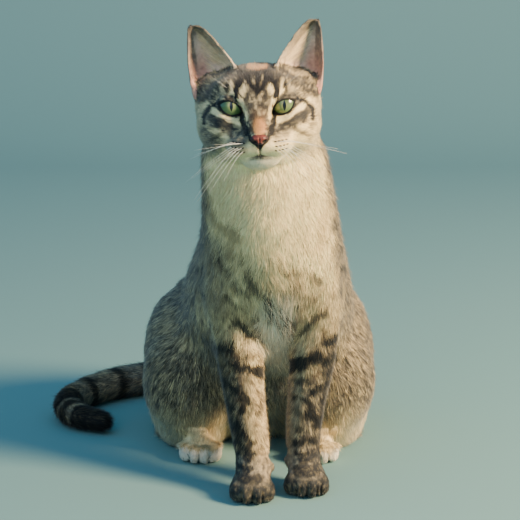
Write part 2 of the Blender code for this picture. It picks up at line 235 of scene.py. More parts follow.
class Web:
    """The edges of a mesh, for smoothing values over its surface."""

    def __init__(self, mesh):
        self.a, self.b = read(mesh.edges, "vertices", 2, np.int64).T
        self.count = len(mesh.vertices)
        self.degree = np.bincount(np.concatenate((self.a, self.b)), minlength=self.count)

    def mean(self, values):
        """The mean of each vertex's neighbours."""
        out = np.empty_like(values)
        for k in range(values.shape[1]):
            column = values[:, k]
            out[:, k] = np.bincount(self.a, column[self.b], self.count)
            out[:, k] += np.bincount(self.b, column[self.a], self.count)
        return out / np.maximum(self.degree, 1)[:, None]

    def smooth(self, values, times, amount=0.5):
        flat = values.ndim == 1
        values = values[:, None] if flat else values
        for _ in range(times):
            values = values + (self.mean(values) - values) * amount
        return values[:, 0] if flat else values

    def level(self, co, times, weight):
        """Flattens the surface where the weight is above 0."""
        for _ in range(times):
            co = co + (self.mean(co) - co) * 0.6 * weight[:, None]
        return co

    def fair(self, co, times, weight):
        """Evens the surface without shrinking it; weight runs from 0, kept, to 1."""
        w = weight[:, None]
        for _ in range(times):
            co = co + (self.mean(co) - co) * 0.5 * w
            co = co + (self.mean(co) - co) * -0.53 * w
        return co


def eye_frame(side):
    """The eyeball's middle and its forward, outward and upward directions, in the world."""
    across, up = LID_AIM[side]
    forward = Vector((across, -1.0, up)).normalized()
    outward = Vector((side * math.cos(LID_SLANT[side]), 0.0, math.sin(LID_SLANT[side])))
    outward = (outward - forward * outward.dot(forward)).normalized()
    upward = outward.cross(forward) * -side
    centre = from_head(((side * EYE_SIDE / MM, EYE_DEPTH / MM, 0.0),))[0]
    turn = HEAD.to_3x3()
    return centre, *(np.array(turn @ v) for v in (forward, outward, upward))


def arc(h, v, height):
    """Distance outside the arc of that height over a slit of LID_WIDTH to each side."""
    k = (LID_WIDTH ** 2 - height ** 2) / (2.0 * height)
    return np.hypot(h, v + k) - (k + height)


def opening(points, side, on_eye=False):
    """Distance from the lids' edge, in eye radii: below zero between the lids, large far off."""
    centre, forward, outward, upward = eye_frame(side)
    offset = (points - centre) / EYE_RADIUS
    reach = np.linalg.norm(offset, axis=1)
    d = offset / np.maximum(reach, 1e-9)[:, None]
    seen = d * 1.05 if on_eye else offset
    h, v, f = seen @ outward, seen @ upward - LID_AXIS, d @ forward
    gap = np.maximum(arc(h, v, LID_UPPER), arc(h, -v, LID_LOWER))
    return np.where((f > 0.05) & (reach < 2.6), gap, 9.0), reach * EYE_RADIUS, d


def refine(mesh, centre, radius):
    """Halves the edges of the faces inside a ball."""
    bm = bmesh.new()
    bm.from_mesh(mesh)
    centre = Vector(centre)
    inside = {v for v in bm.verts if (v.co - centre).length < radius}
    edges = [e for e in bm.edges if e.verts[0] in inside and e.verts[1] in inside]
    bmesh.ops.subdivide_edges(bm, edges=edges, cuts=1, use_grid_fill=True)
    bmesh.ops.triangulate(bm, faces=[f for f in bm.faces if len(f.verts) > 4])
    bm.to_mesh(mesh)
    bm.free()


# Coat depth, tuft length, width, lift and count for each part of the body: mm, mm, mm, degrees, per mm2
COAT = {
    "head": (2.0, 4.2, 0.58, 16, 3.0), "nose": (0.6, 1.6, 0.5, 12, 0.0), "eye": (0.6, 1.8, 0.45, 12, 4.0),
    "ear": (0.4, 2.6, 0.55, 9, 3.6), "neck": (3.8, 9.5, 0.80, 19, 1.6),
    "trunk": (4.0, 9.5, 0.90, 19, 1.05), "thigh": (3.4, 7.0, 0.72, 18, 1.35),
    "upper_arm": (3.0, 7.5, 0.75, 19, 1.6), "forearm": (1.5, 6.2, 0.62, 23, 2.5),
    "forepaw": (0.8, 2.6, 0.50, 13, 3.4), "hind_foot": (0.9, 2.8, 0.55, 12, 3.0),
    "tail": (3.4, 9.5, 0.85, 18, 1.45),
}
FACE_COAT = (0.9, 2.1, 0.46, 14, 6.4)  # in front, from the brow to the chin
ANKLE_COAT = (1.2, 8.5, 0.75, 16, 2.0)  # over the hind toes
COUNT = 0.89  # the share of those counts that is grown


def kind_of(name):
    for kind in COAT:
        if name.startswith(kind):
            return kind
    return "trunk"


KINDS = list(COAT)
HEAD_KINDS = ("head", "nose", "eye")
KIND_OF_NODE = np.array([KINDS.index(kind_of(n)) for n in FILL])
KIND = {k: i for i, k in enumerate(KINDS)}


def of(kinds, *names):
    """True at the points that belong to these parts of the body."""
    return np.isin(kinds, [KIND[name] for name in names])


def smoothing_weight(kind):
    """How much each part is smoothed, less where it has small forms."""
    weight = np.ones(len(kind))
    for name, value in (("head", 0.5), ("nose", 0.25), ("eye", 0.4), ("ear", 0.55), ("forepaw", 0.28),
                        ("hind_foot", 0.30), ("forearm", 0.7)):
        weight[of(kind, name)] = value
    return weight


def mouth_height(x):
    """The height of the line between the lips, in mm, at each distance from the middle."""
    return -36.6 - 1.5 * np.minimum(np.abs(x) / 9.0, 1.8) ** 1.6


def muzzle_form(h):
    """How far the skin moves in, in mm, for the mouth and the groove under the nose, and out for the whisker pads."""
    x, y, z = h.T
    front = ramp(-y, 26.0, 32.0)
    groove = bell(x / 0.9) * ramp(-z, 25.5, 27.5) * ramp(z, -38.5, -36.0)
    lips = bell((z - mouth_height(x)) / 0.95) * ramp(-np.abs(x), -14.0, -7.0)
    pads = bell((np.abs(x) - 8.5) / 8.0, (z + 30.5) / 6.0)
    return front * (0.9 * groove + 0.9 * lips - 0.9 * pads)


def toe_groove(points):
    """1 in the grooves between the toes, 0 away from them."""
    x, y, z = (points / MM).T
    groove = np.zeros(len(points))
    for name in PAWS:
        middle, front = (v / MM for v in paw_place(name))
        near = (y < front + 34) & (np.abs(x - middle) < 24) & (z < 27)
        back = ramp(-(y - front), -25.0, -17.0) * ramp(-z, -15.5, -10.5)
        for across, splay in TOE_GAPS:
            line = np.abs(x - middle - across - splay * (y - front - 8.0))
            groove = np.maximum(groove, near * back * np.exp(-(line / 0.90) ** 2))
    return groove


def paw_form(points):
    """How far the skin moves in, in mm, between the toes and over the small inner toe of each foreleg."""
    inward = 1.9 * toe_groove(points)
    for name, across in (("forepaw_left", -1), ("forepaw_right", 1)):
        middle, front = paw_place(name)
        spot = np.array((middle + across * 0.0172, front + 0.036, 0.021))
        gap = np.linalg.norm((points - spot) / np.array((1.0, 1.2, 1.4)), axis=1) / MM
        inward += 4.6 * np.exp(-(gap / 6.0) ** 2)
    return inward


def lid_height(gap):
    """The skin's height over the eyeball, at each distance outside the lids' edge."""
    return LID_THICKNESS * ramp(gap, 0.0, 0.10) - LID_SINK * ramp(-gap, 0.0, 0.05)


def fitted_to_eye(co, side):
    """Brings the skin onto the eyeball between the lids and down to the lids around them."""
    centre, forward, _, _ = eye_frame(side)
    gap, reach, d = opening(co, side, on_eye=True)
    target = EYE_RADIUS + lid_height(gap)
    radius = target + (np.maximum(reach, target) - target) * ramp(gap, 0.10, 0.42)
    on_ball = np.where((gap < 0.8)[:, None], centre + d * radius[:, None], co)
    gap = opening(co, side)[0]
    offset = co - centre
    ahead = offset @ forward
    aside = np.linalg.norm(offset - ahead[:, None] * forward, axis=1)
    ball = np.sqrt(EYE_RADIUS ** 2 - np.minimum(aside, 0.9 * EYE_RADIUS) ** 2)
    ball += lid_height(gap)
    drop = np.maximum(ahead - ball, 0.0) * (1.0 - ramp(gap, 0.04, 0.36))
    far = ramp(reach / EYE_RADIUS, 1.10, 1.30)[:, None]
    return on_ball + (co - forward * drop[:, None] - on_ball) * far


def haunch_form(points):
    """How far the skin moves in, in mm, at the haunches' outer corners, high and low."""
    x, y, z = (points / MM).T
    high = bell((x + 80) / 15.0, (z - 128) / 22.0)
    low = bell((np.abs(x) - 96) / 13.0, (z - 12) / 15.0)
    return 4.0 * high + 3.0 * low


def node_kinds(co, tree, owner):
    """The part of the body that each point is nearest to."""
    return KIND_OF_NODE[[owner[tree.find_nearest(p)[2]] for p in co]]


def even_skin(co, web, kind):
    """Evens the steps between the solids: all over, then on the bridge, under the head and over the hips."""
    co = web.fair(co, 26, web.smooth(smoothing_weight(kind), 6))
    x, y, z = in_head(co).T
    brow = ramp(-np.abs(x), -12.0, -7.0) * ramp(z, -13.0, -6.0) * ramp(-z, -18.0, -10.0)
    co = web.level(co, 70, web.smooth(brow * ramp(-y, 10.0, 18.0), 4))
    x, y, z = in_head(co).T
    neck = web.smooth(of(kind, "neck").astype(float), 10)
    seam = 4.0 * neck * (1.0 - neck) * ramp(z, -75.0, -60.0)
    chin = ramp(-np.abs(x), -22.0, -14.0) * ramp(-y, 8.0, 16.0)
    co = web.level(co, 26, web.smooth(seam * (1.0 - 0.8 * chin), 4))
    hip = web.smooth(of(kind, "thigh").astype(float), 16)
    hip = 4.0 * hip * (1.0 - hip) * ramp(co[:, 2], 0.050, 0.080)
    return web.level(co, 60, web.smooth(hip, 4))


def refine_skin(mesh):
    """Finer faces where the forms are small: the face, the eyes, the ears, the mouth and the toes."""
    refine(mesh, from_head(((0, -28, -12),))[0], 0.0480)
    for side in (-1, 1):
        centre = eye_frame(side)[0]
        refine(mesh, centre, 0.0185)
        refine(mesh, centre + np.array((0, -0.006, 0)), 0.0150)
        refine(mesh, from_head(((side * 41, 2, 36),))[0], 0.0380)
    refine(mesh, from_head(((0, -42, -28),))[0], 0.0190)
    for name in PAWS:
        low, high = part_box(name)
        refine(mesh, ((low[0] + high[0]) / 2, low[1] + 0.011, 0.007), 0.0260)
    bm = bmesh.new()
    bm.from_mesh(mesh)
    bmesh.ops.triangulate(bm, faces=bm.faces)
    bm.to_mesh(mesh)
    bm.free()


def make_skin():
    """The skin, the web of its edges, and each vertex's part of the body and row of COAT."""
    mesh = raw_skin()
    tree, owner = flesh_tree()
    co = coords(mesh)
    set_coords(mesh, even_skin(co, Web(mesh), node_kinds(co, tree, owner)))
    refine_skin(mesh)
    web = Web(mesh)
    co = coords(mesh)
    kind = node_kinds(co, tree, owner)
    table = np.array([COAT[k] for k in KINDS])
    params = web.smooth(table[kind], 14)
    h = in_head(co)
    face = ramp(-h[:, 1], 8.0, 34.0) * ramp(h[:, 2], -52.0, -40.0) * ramp(-np.abs(h[:, 0]), -42, -30)
    face = web.smooth(face * of(kind, *HEAD_KINDS), 6)
    params = params + (np.array(FACE_COAT) - params) * face[:, None]
    ears = web.smooth(of(kind, "ear").astype(float), 4)
    co = web.fair(co, 24, 0.9 * ears)
    set_coords(mesh, web.fair(co, 3, np.full(len(co), 0.4)))
    over_foot = of(kind, "hind_foot") * ramp(co[:, 2], 0.011, 0.016)
    params = params + (np.array(ANKLE_COAT) - params) * over_foot[:, None]
    co = coords(mesh)
    normal = unit(web.smooth(normals_of(mesh), 3))
    inward = params[:, 0] * MM * 0.92 + SWELL + (muzzle_form(h) + paw_form(co) + haunch_form(co)) * MM
    co = co - normal * inward[:, None]
    for side in (-1, 1):
        co = fitted_to_eye(co, side)
    set_coords(mesh, co)
    mesh.name = "skin"
    return mesh, web, kind, params


skin_mesh, web, kind, params = make_skin()
SKIN = coords(skin_mesh)
SKIN_NORMAL = normals_of(skin_mesh)
TRI = read(skin_mesh.polygons, "vertices", 3, np.int64)


# ---------------------------------------------------------------- the lie of the coat
def on_path(points):
    """How far along the tail's middle line each point is, in metres, and the line's direction and place there."""
    best = np.full(len(points), 9.0)
    along = np.zeros(len(points))
    place = np.zeros_like(points)
    heading = np.zeros_like(points)
    start = 0.0
    for a, b in zip(TAIL[:-1], TAIL[1:]):
        step = b - a
        length = np.linalg.norm(step)
        t = np.clip((points - a) @ step / length ** 2, 0.0, 1.0)
        foot = a + t[:, None] * step
        gap = np.linalg.norm(points - foot, axis=1)
        nearer = gap < best
        best = np.where(nearer, gap, best)
        along = np.where(nearer, start + t * length, along)
        place[nearer] = foot[nearer]
        heading[nearer] = step / length
        start += length
    return along, heading, place


def ear_place(h):
    """Across from 0, the inner edge, to 1, the outer edge; up from 0, the base, to 1, the tip; and which ear."""
    side = np.sign(h[:, 0])
    flat = np.stack((np.abs(h[:, 0]), h[:, 1], h[:, 2]), axis=1) * MM
    basis = np.stack((EAR_INNER - EAR_TIP, EAR_OUTER - EAR_TIP), axis=1)
    solved = (flat - EAR_TIP) @ np.linalg.pinv(basis).T
    total = solved.sum(axis=1)
    return np.clip(solved[:, 1] / np.maximum(total, 0.02), 0.0, 1.0), 1.0 - total, side


def lie():
    """The direction in which the hair lies, at each point of the skin."""
    h = in_head(SKIN)
    side = np.sign(SKIN[:, 0] - 0.005)
    count = len(SKIN)
    flow = np.zeros((count, 3))
    nose = np.array((0.0, -52.0, -20.0))
    from_nose = unit(h - nose)
    behind = field(0.10 * np.sign(h[:, 0]), 0.45, -1.0)
    back = ramp(h[:, 1], -4.0, 34.0)[:, None]
    head_flow = unit(from_nose * (1 - back) + behind * back) @ HEAD_TURN.T
    for eye in (-1, 1):
        centre = eye_frame(eye)[0]
        near = ramp(-opening(SKIN, eye)[0], -0.55, -0.12)[:, None]
        away = unit(SKIN - centre) @ HEAD_TURN
        head_flow = head_flow @ HEAD_TURN
        head_flow = unit(head_flow * (1 - near) + (away + np.array((eye * 0.3, 0.2, 0.0))) * near) @ HEAD_TURN.T
    under = ramp(-h[:, 2], 40.0, 52.0)[:, None]
    head_flow = head_flow * (1 - under) + np.array((0.0, 0.25, -1.0)) * under
    ear_side = ear_place(h)[2]
    ear_flow = unit(EAR_TIP - 0.5 * (EAR_INNER + EAR_OUTER))
    ear_flow = field(ear_side * ear_flow[0], ear_flow[1], ear_flow[2])
    down = field(0.22 * side, 0.10, -1.0)
    facing = SKIN_NORMAL[:, 1] < 0
    down[facing, 1] = -0.12
    rump = ramp(-SKIN[:, 2], -0.07, -0.02)
    thigh = field(0.45 * side, -0.10, -0.8)
    leg = np.tile((0.0, -0.12, -1.0), (count, 1))
    paw = np.tile((0.0, -1.0, -0.45), (count, 1))
    heading = on_path(SKIN)[1]
    choices = {"head": head_flow, "nose": head_flow, "eye": head_flow, "ear": ear_flow @ HEAD_TURN.T,
               "neck": down, "trunk": down + rump[:, None] * thigh * 0.4, "thigh": thigh, "upper_arm": leg,
               "forearm": leg, "forepaw": paw, "hind_foot": paw, "tail": heading}
    for name, way in choices.items():
        mask = of(kind, name)
        flow[mask] = unit(way[mask])
    for _ in range(6):
        flow = along_skin(web.smooth(flow, 3), SKIN_NORMAL)
    return flow


FLOW = lie()


# ---------------------------------------------------------------- the markings
def shade(r, g, b):
    """A colour given as on a screen, 0 to 255, in linear light."""
    c = np.array((r, g, b)) / 255.0
    return np.where(c <= 0.04045, c / 12.92, ((c + 0.055) / 1.055) ** 2.4)


CREAM = shade(255, 230, 172)
WHITE = shade(248, 238, 214)
TICKED = shade(126, 117, 98)
GREY = shade(116, 112, 102)
BROWN = shade(112, 93, 70)
SMOKE = shade(44, 44, 42)
BLACK = shade(14, 13, 13)
TAN = shade(208, 156, 106)
PITCH = shade(20, 26, 29)
PAW = shade(29, 36, 37)
PINK = shade(214, 150, 130)
EAR_BROWN = shade(222, 194, 174)


def line_gap(x, z, points):
    """Distance in the x-z plane from a run of straight lines."""
    gap = np.full(len(x), 1e3)
    for (ax, az), (bx, bz) in zip(points[:-1], points[1:]):
        dx, dz = bx - ax, bz - az
        t = np.clip(((x - ax) * dx + (z - az) * dz) / (dx * dx + dz * dz), 0.0, 1.0)
        gap = np.minimum(gap, np.hypot(x - ax - t * dx, z - az - t * dz))
    return gap


def patch(x, z, cx, cz, rx, rz, tilt=0.0):
    """1 in the middle of a tilted oval, falling to 0 outside it."""
    c, s = math.cos(math.radians(tilt)), math.sin(math.radians(tilt))
    u, v = (x - cx) * c + (z - cz) * s, -(x - cx) * s + (z - cz) * c
    return ramp(-np.hypot(u / rx, v / rz), -1.25, -0.75)


# Dark lines of the face, mirrored: points in mm from eye level, half width, depth of the dark
FACE_LINES = (
    (((29.5, 4.0), (35.5, -0.5), (40.5, -7.0), (40.0, -12.5)), 0.9, 0.9),
    (((27, -18), (36, -25)), 0.8, 0.55), (((33, -14), (42, -18)), 0.7, 0.45),
    (((12.6, -5), (11.4, -12), (8.8, -19.0)), 1.5, 1.0), (((8.6, -14), (7.6, -20), (6.8, -23)), 0.8, 0.8),
    (((8, 9), (8.5, 0)), 1.4, 0.45), (((34, 9), (43, 3)), 0.9, 0.5), (((31, 14), (40, 12)), 0.9, 0.4),
)
# Dark lines of the forehead, as they are on each side
BROW_LINES = (
    (((-6.9, 28), (-7.8, 22.4), (-5.9, 18.3), (-3.4, 14.0)), 1.25, 0.95),
    (((0.6, 26), (0.4, 19), (0.5, 10.5)), 1.1, 0.95), (((7.2, 27), (7.3, 20), (3.8, 12.0)), 1.3, 0.95),
    (((-13, 26), (0, 23.5), (13, 25.5)), 1.2, 0.75), (((-7.4, 21), (-12, 19.5)), 1.0, 0.7),
    (((7.3, 21), (12, 19)), 1.0, 0.7),
    (((-11.5, 18), (-15.9, 12.7), (-15.8, 7.6)), 1.5, 1.0), (((11.9, 17), (15.4, 11.3), (14.0, 6.3)), 1.5, 1.0),
    (((-2.0, 13), (0.5, 11.5), (3.0, 12.5)), 1.0, 0.85), (((-22.9, 14.5), (-22.5, 11)), 1.3, 0.75),
    (((21.3, 14), (21.5, 10.5)), 1.3, 0.75), (((-12, 27), (-11, 22)), 1.2, 0.7), (((12.5, 26), (11.5, 21)), 1.2, 0.7),
    (((-20, 24), (-17, 19)), 1.1, 0.5), (((19, 23), (17, 18)), 1.1, 0.5),
)
# Dark gaps and flecks of the chest, the gaps partly painted shade between the fur's locks: front places (x, z) in mm,
# half width, depth
CHEST_LINES = (
    (((4, 170), (6, 158), (9, 146)), 1.8, 0.9), (((16, 163), (17.5, 150), (18, 136)), 1.8, 0.95),
    (((25, 146), (28, 137), (27, 128)), 1.6, 0.9), (((-10, 184), (-1, 172)), 2.0, 0.75),
    (((16, 189), (24, 187), (33, 189)), 1.6, 0.75), (((40, 184), (47, 176)), 1.6, 0.65),
    (((-4, 150), (0, 138), (-1, 128)), 1.4, 0.7), (((-20, 176), (-10, 168)), 1.7, 0.65),
    (((31, 170), (41, 163)), 1.5, 0.6), (((-32, 192), (-22, 184)), 1.7, 0.6), (((13, 200), (15, 192)), 1.1, 0.5),
    (((-27, 162), (-15, 153)), 1.8, 0.6), (((33, 156), (45, 160)), 1.8, 0.6),
)
# Bars of the forelegs: front places (x, z) in mm, half width, depth
LEG_LINES = (
    (((-21, 140), (-11, 134), (-4.6, 128)), 2.2, 0.7), (((-33, 118), (-22, 118)), 3.2, 0.9),
    (((-25, 107), (-10, 103), (-1, 99), (4, 94)), 3.0, 0.85), (((-30, 92), (-25, 88)), 2.6, 0.9),
    (((-21, 88), (-15, 85), (-11, 77), (-14, 69)), 2.0, 0.8), (((-10, 69), (-1, 70)), 1.1, 0.45),
    (((-28, 76), (-23, 72)), 2.6, 0.85), (((-25, 58), (-17, 57), (-14.6, 53)), 3.8, 0.95),
    (((-11.3, 52), (-6.8, 46), (-10, 41)), 1.4, 0.7), (((-22, 45), (-16, 45)), 2.2, 0.85),
    (((-19, 36), (-7, 36), (-10, 31)), 2.0, 0.8), (((-19, 26), (-8, 25)), 2.2, 0.85),
    (((-18, 18.5), (-2, 19.5)), 2.8, 0.7),
    (((34.6, 128), (41, 140), (51, 147)), 1.9, 0.6), (((54, 122), (63, 123)), 3.3, 0.95),
    (((24.5, 99), (32, 104), (39, 109), (49, 110)), 4.0, 0.95), (((53, 106), (60, 110)), 3.3, 0.95),
    (((42, 83), (54, 87)), 3.0, 0.95), (((29, 78), (37, 77), (41, 72), (39, 67)), 1.7, 0.75),
    (((39, 64), (45.7, 61), (47, 55)), 3.5, 0.95), (((28, 53), (32, 52), (34.6, 55)), 1.2, 0.6),
    (((30, 41.5), (37, 44), (45, 41.5)), 1.9, 0.8), (((29, 32), (41, 31)), 1.9, 0.75),
    (((34, 27), (45, 29)), 1.9, 0.75), (((30, 90), (38, 92)), 1.4, 0.5), (((30, 66), (35, 63)), 1.4, 0.5),
    (((30, 20), (46, 20)), 2.8, 0.7), (((52, 96), (58, 98)), 2.0, 0.8), (((50, 74), (55, 72)), 2.0, 0.8),
)
# The tail's rings: from, to, in mm along it, and depth of the dark
TAIL_RINGS = ((52, 60, 0.45), (74, 83, 0.55), (98, 107, 0.65), (122, 131, 0.7), (149, 160, 0.95),
              (188, 199, 0.95), (221, 247, 0.95), (252, 262, 0.9), (267, 330, 1.0))


def mix(base, colour, amount):
    """The base colours with another laid over them, by an amount from 0 to 1 at each point."""
    return base + (colour - base) * np.clip(amount, 0.0, 1.0)[:, None]


def body_markings(points, normal, kinds):
    """Colour and ticking of everything but the head and ears."""
    count = len(points)
    x, y, z = (points / MM).T
    wob = noise(points, 0.011, 3)
    fine = noise(points, 0.0035, 5)
    locks = noise(points * (1.0, 1.0, 0.42), 0.0045, 7)
    colour = np.tile(TICKED, (count, 1))
    tick = np.full(count, 1.0)
    fronting = -normal[:, 1]
    trunk = of(kinds, "trunk")

    def lay(target, amount):
        nonlocal colour
        colour = mix(colour, target, amount)

    # ticked sides with broken stripes, a dark line down the back, pale lower haunches
    upper = ramp(z, 60, 140)
    stripe = np.sin((z * 0.9 + 0.55 * y + 12 * wob) / 6.2) * 0.5 + 0.5
    lay(SMOKE, ramp(stripe, 0.55, 0.95) * 0.45 * ramp(-fronting, -0.15, 0.35) * upper)
    spine = bell((x - 1) / 9.0) * ramp(normal[:, 1], 0.1, 0.5)
    lay(BLACK, spine * 0.75 * ramp(z, 40, 90))
    low = ramp(-z + 7 * wob, -56, -20)
    lay(CREAM, low * 0.72)
    tick = tick * (1 - 0.65 * low)

    # cream chest, darker and flecked below, with a broken necklace on each side
    bib = ramp(fronting + 0.18 * wob, 0.16, 0.58) * ramp(z, 92, 118)
    high = ramp(z + 9 * wob + 0.35 * (x - 10), 172, 206)
    lay(CREAM, bib * (0.62 + 0.38 * high))
    tick = tick * (1 - bib * (0.50 + 0.42 * high))
    lay(GREY, 0.40 * ramp(locks, 0.25, 0.75) * bib * (1 - 0.8 * high))
    lay(CREAM, 0.45 * ramp(-locks, 0.15, 0.6) * bib)
    lace = np.minimum(line_gap(x, z, ((-44, 240), (-33, 226), (-18, 218), (-22, 200))),
                      line_gap(x, z, ((58, 244), (48, 226), (46, 206))))
    lace = ramp(-lace + 3.5 * fine + 2.5 * wob, -6.5, -1.5) * (fronting > 0)
    lay(BROWN, lace * np.where(x < 10, 0.62, 0.30))
    # the cat's right shoulder greyer and more ticked: partly its ticked coat, partly painted shade on the side away
    # from the key light
    ticked_and_shaded_shoulder = ramp(-x + 5 * wob, 20, 34) * ramp(-z, -222, -205) * ramp(z, 96, 120) * ramp(fronting, -0.3, 0.2)
    lay(GREY * 0.9, 0.6 * ticked_and_shaded_shoulder)
    tick = np.maximum(tick, 0.75 * ticked_and_shaded_shoulder)
    flecks = ramp(noise(points * (1, 1, 0.8), 0.0075, 11) + 0.45 * fine, 0.30, 0.70) * bib * ramp(-z, -212, -188)
    lay(BROWN * 0.7, flecks * 0.75)
    centre = trunk * np.exp(-((x - 13) / 15.0) ** 4) * ramp(-z, -178, -160) * ramp(z, 78, 88)
    centre = centre * ramp(fronting, -0.1, 0.3) * (y < -120)
    lay(WHITE * 0.93, centre * (0.95 - 0.4 * ramp(locks, 0.2, 0.7)))
    tick = tick * (1 - 0.5 * centre)
    # dark flecks, and partly painted shade in the gaps between the fur's locks
    for points_2d, half, depth in CHEST_LINES:
        gap = line_gap(x, z, points_2d)
        dark = depth * ramp(-gap + 1.2 * fine, -half - 1.4, -half + 0.3) * (fronting > 0.1)
        lay(SMOKE * 0.8, 1.15 * dark)
    belly = trunk & (z < 112) & (np.abs(x - 12) < 34)
    under = belly * ramp(fronting + (y > -150), 0.1, 0.5)
    lay(GREY * 1.15, under * 0.75 * ramp(-z, -106, -84))
    lay(CREAM, belly * ramp(-z, -34, -18) * 0.8)

    # forelegs: beige with broken dark bars over the front and outside, cream inside
    arm = of(kinds, "upper_arm", "forearm", "forepaw")
    left = x > 16
    outside = np.where(left, normal[:, 0], -normal[:, 0])
    spread = np.where(left, 0.35, 0.0)
    inside = -outside + 0.3 * wob
    base = np.tile(TICKED * 0.95, (count, 1))
    for target, amount in (
            (CREAM, ramp(inside, -0.20, 0.55) * 0.95), (CREAM, 0.45 * ramp(z, 112, 135)),
            (TAN * 1.2, 0.22 * ramp(inside, 0.0, 0.6) * ~left), (GREY, 0.60 * ramp(inside, 0.1, 0.6) * left),
            (BROWN * 0.7, 0.75 * ramp(noise(points * (1, 1, 1.6), 0.0036, 17), 0.0, 0.45)),
            (GREY, np.where(left, 0.55, 0.15) * ramp(-z, -100, -80)),
            (GREY * 0.8, 0.7 * ramp(-z + 4 * fine, -44, -26))):
        base = mix(base, target, amount)
    lay(base, arm * ramp(-z, -165, -128))
    tick = np.where(arm, 0.50 + 0.45 * ramp(outside + spread, -0.3, 0.5) * ramp(-z, -135, -110), tick)
    bars = np.zeros(count)
    for points_2d, half, depth in LEG_LINES:
        gap = line_gap(x, z, points_2d)
        bars = np.maximum(bars, depth * ramp(-gap + 2.0 * fine + 1.0 * wob, -half - 1.6, -half + 0.4))
    bars = 1.0 - (1.0 - np.clip(bars, 0.0, 1.0)) ** 2
    bars = bars * ramp(-np.abs(x - np.where(left, 42.0, -17.0)), -25.0, -20.0)
    rings = ramp(np.sin((z + 6 * wob + 0.3 * y) / 3.4) + 0.6 * fine, 0.25, 0.8) * 0.85 * ramp(outside, 0.1, 0.55)
    bars = np.where(fronting > 0.25, bars, np.maximum(bars * ramp(fronting, -0.1, 0.25), rings))
    crumbs = ramp(noise(points * (1, 1, 1.8), 0.0042, 13), 0.20, 0.50)
    crumbs = crumbs * ramp(outside + 0.3 * fine + spread, -0.45, 0.2)
    crumbs = np.maximum(crumbs, ramp(outside + 0.35 * fine, 0.40, 1.0))
    bars = np.maximum(bars, 0.75 * crumbs * ramp(-z, -128, -112))
    legs = arm | trunk & (z < 152) & (fronting > 0.1) & (y < -120)
    lay(PITCH, bars * legs)
    tick = np.where(legs, tick * (1 - 0.85 * bars), tick)

    # feet: dark toes in front and white ones behind, with painted shade in black in the grooves between the toes
    groove = toe_groove(points)
    forepaw = of(kinds, "forepaw")
    paw = forepaw * ramp(-z + 1.2 * wob, -18.5, -15.5)
    streak = ramp(fine + 0.5 * wob, 0.1, 0.6)
    lay(mix(np.tile(PAW, (count, 1)), GREY * 0.8, 0.26 * streak), paw * 0.97)
    pale = forepaw * bell((z - 16.0 - 0.6 * wob) / 0.9) * ramp(fronting, 0.0, 0.4)
    lay(TICKED * 1.05, 0.45 * pale)
    tick = np.where(paw > 0.5, 0.25, tick)
    hind = of(kinds, "hind_foot") & (z + 1.5 * fine < 13.5)
    colour[hind] = WHITE * 0.92
    tick[hind] = 0.08
    # painted shade: black in the grooves between the toes, on the dark forepaws and the white hind feet
    lay(BLACK, ramp(groove, 0.50, 0.90) * np.where(hind, 0.75, 0.80))

    # tail: dark rings on grey-beige, black at the tip, and darker towards the floor as painted shade under the tail
    tail = of(kinds, "tail")
    if tail.any():
        s = on_path(points)[0] / MM + 2.5 * fine + 2.0 * wob
        ring = np.zeros(count)
        for low_end, high_end, depth in TAIL_RINGS:
            here = ramp(s, low_end - 2, low_end + 2) * ramp(-s, -high_end - 2, -high_end + 2)
            ring = np.maximum(ring, depth * here)
        base = mix(np.tile(GREY * 1.15, (count, 1)), TICKED * 1.1, ramp(s, 130, 165))
        # painted shade under the tail, darker towards the floor it lies on
        base = mix(base, SMOKE, ramp(-z, -12, -3) * 0.8)
        colour = np.where(tail[:, None], mix(base, BLACK, ring), colour)
        tick = np.where(tail, 0.75 * (1 - 0.8 * ring), tick)
    return colour, tick


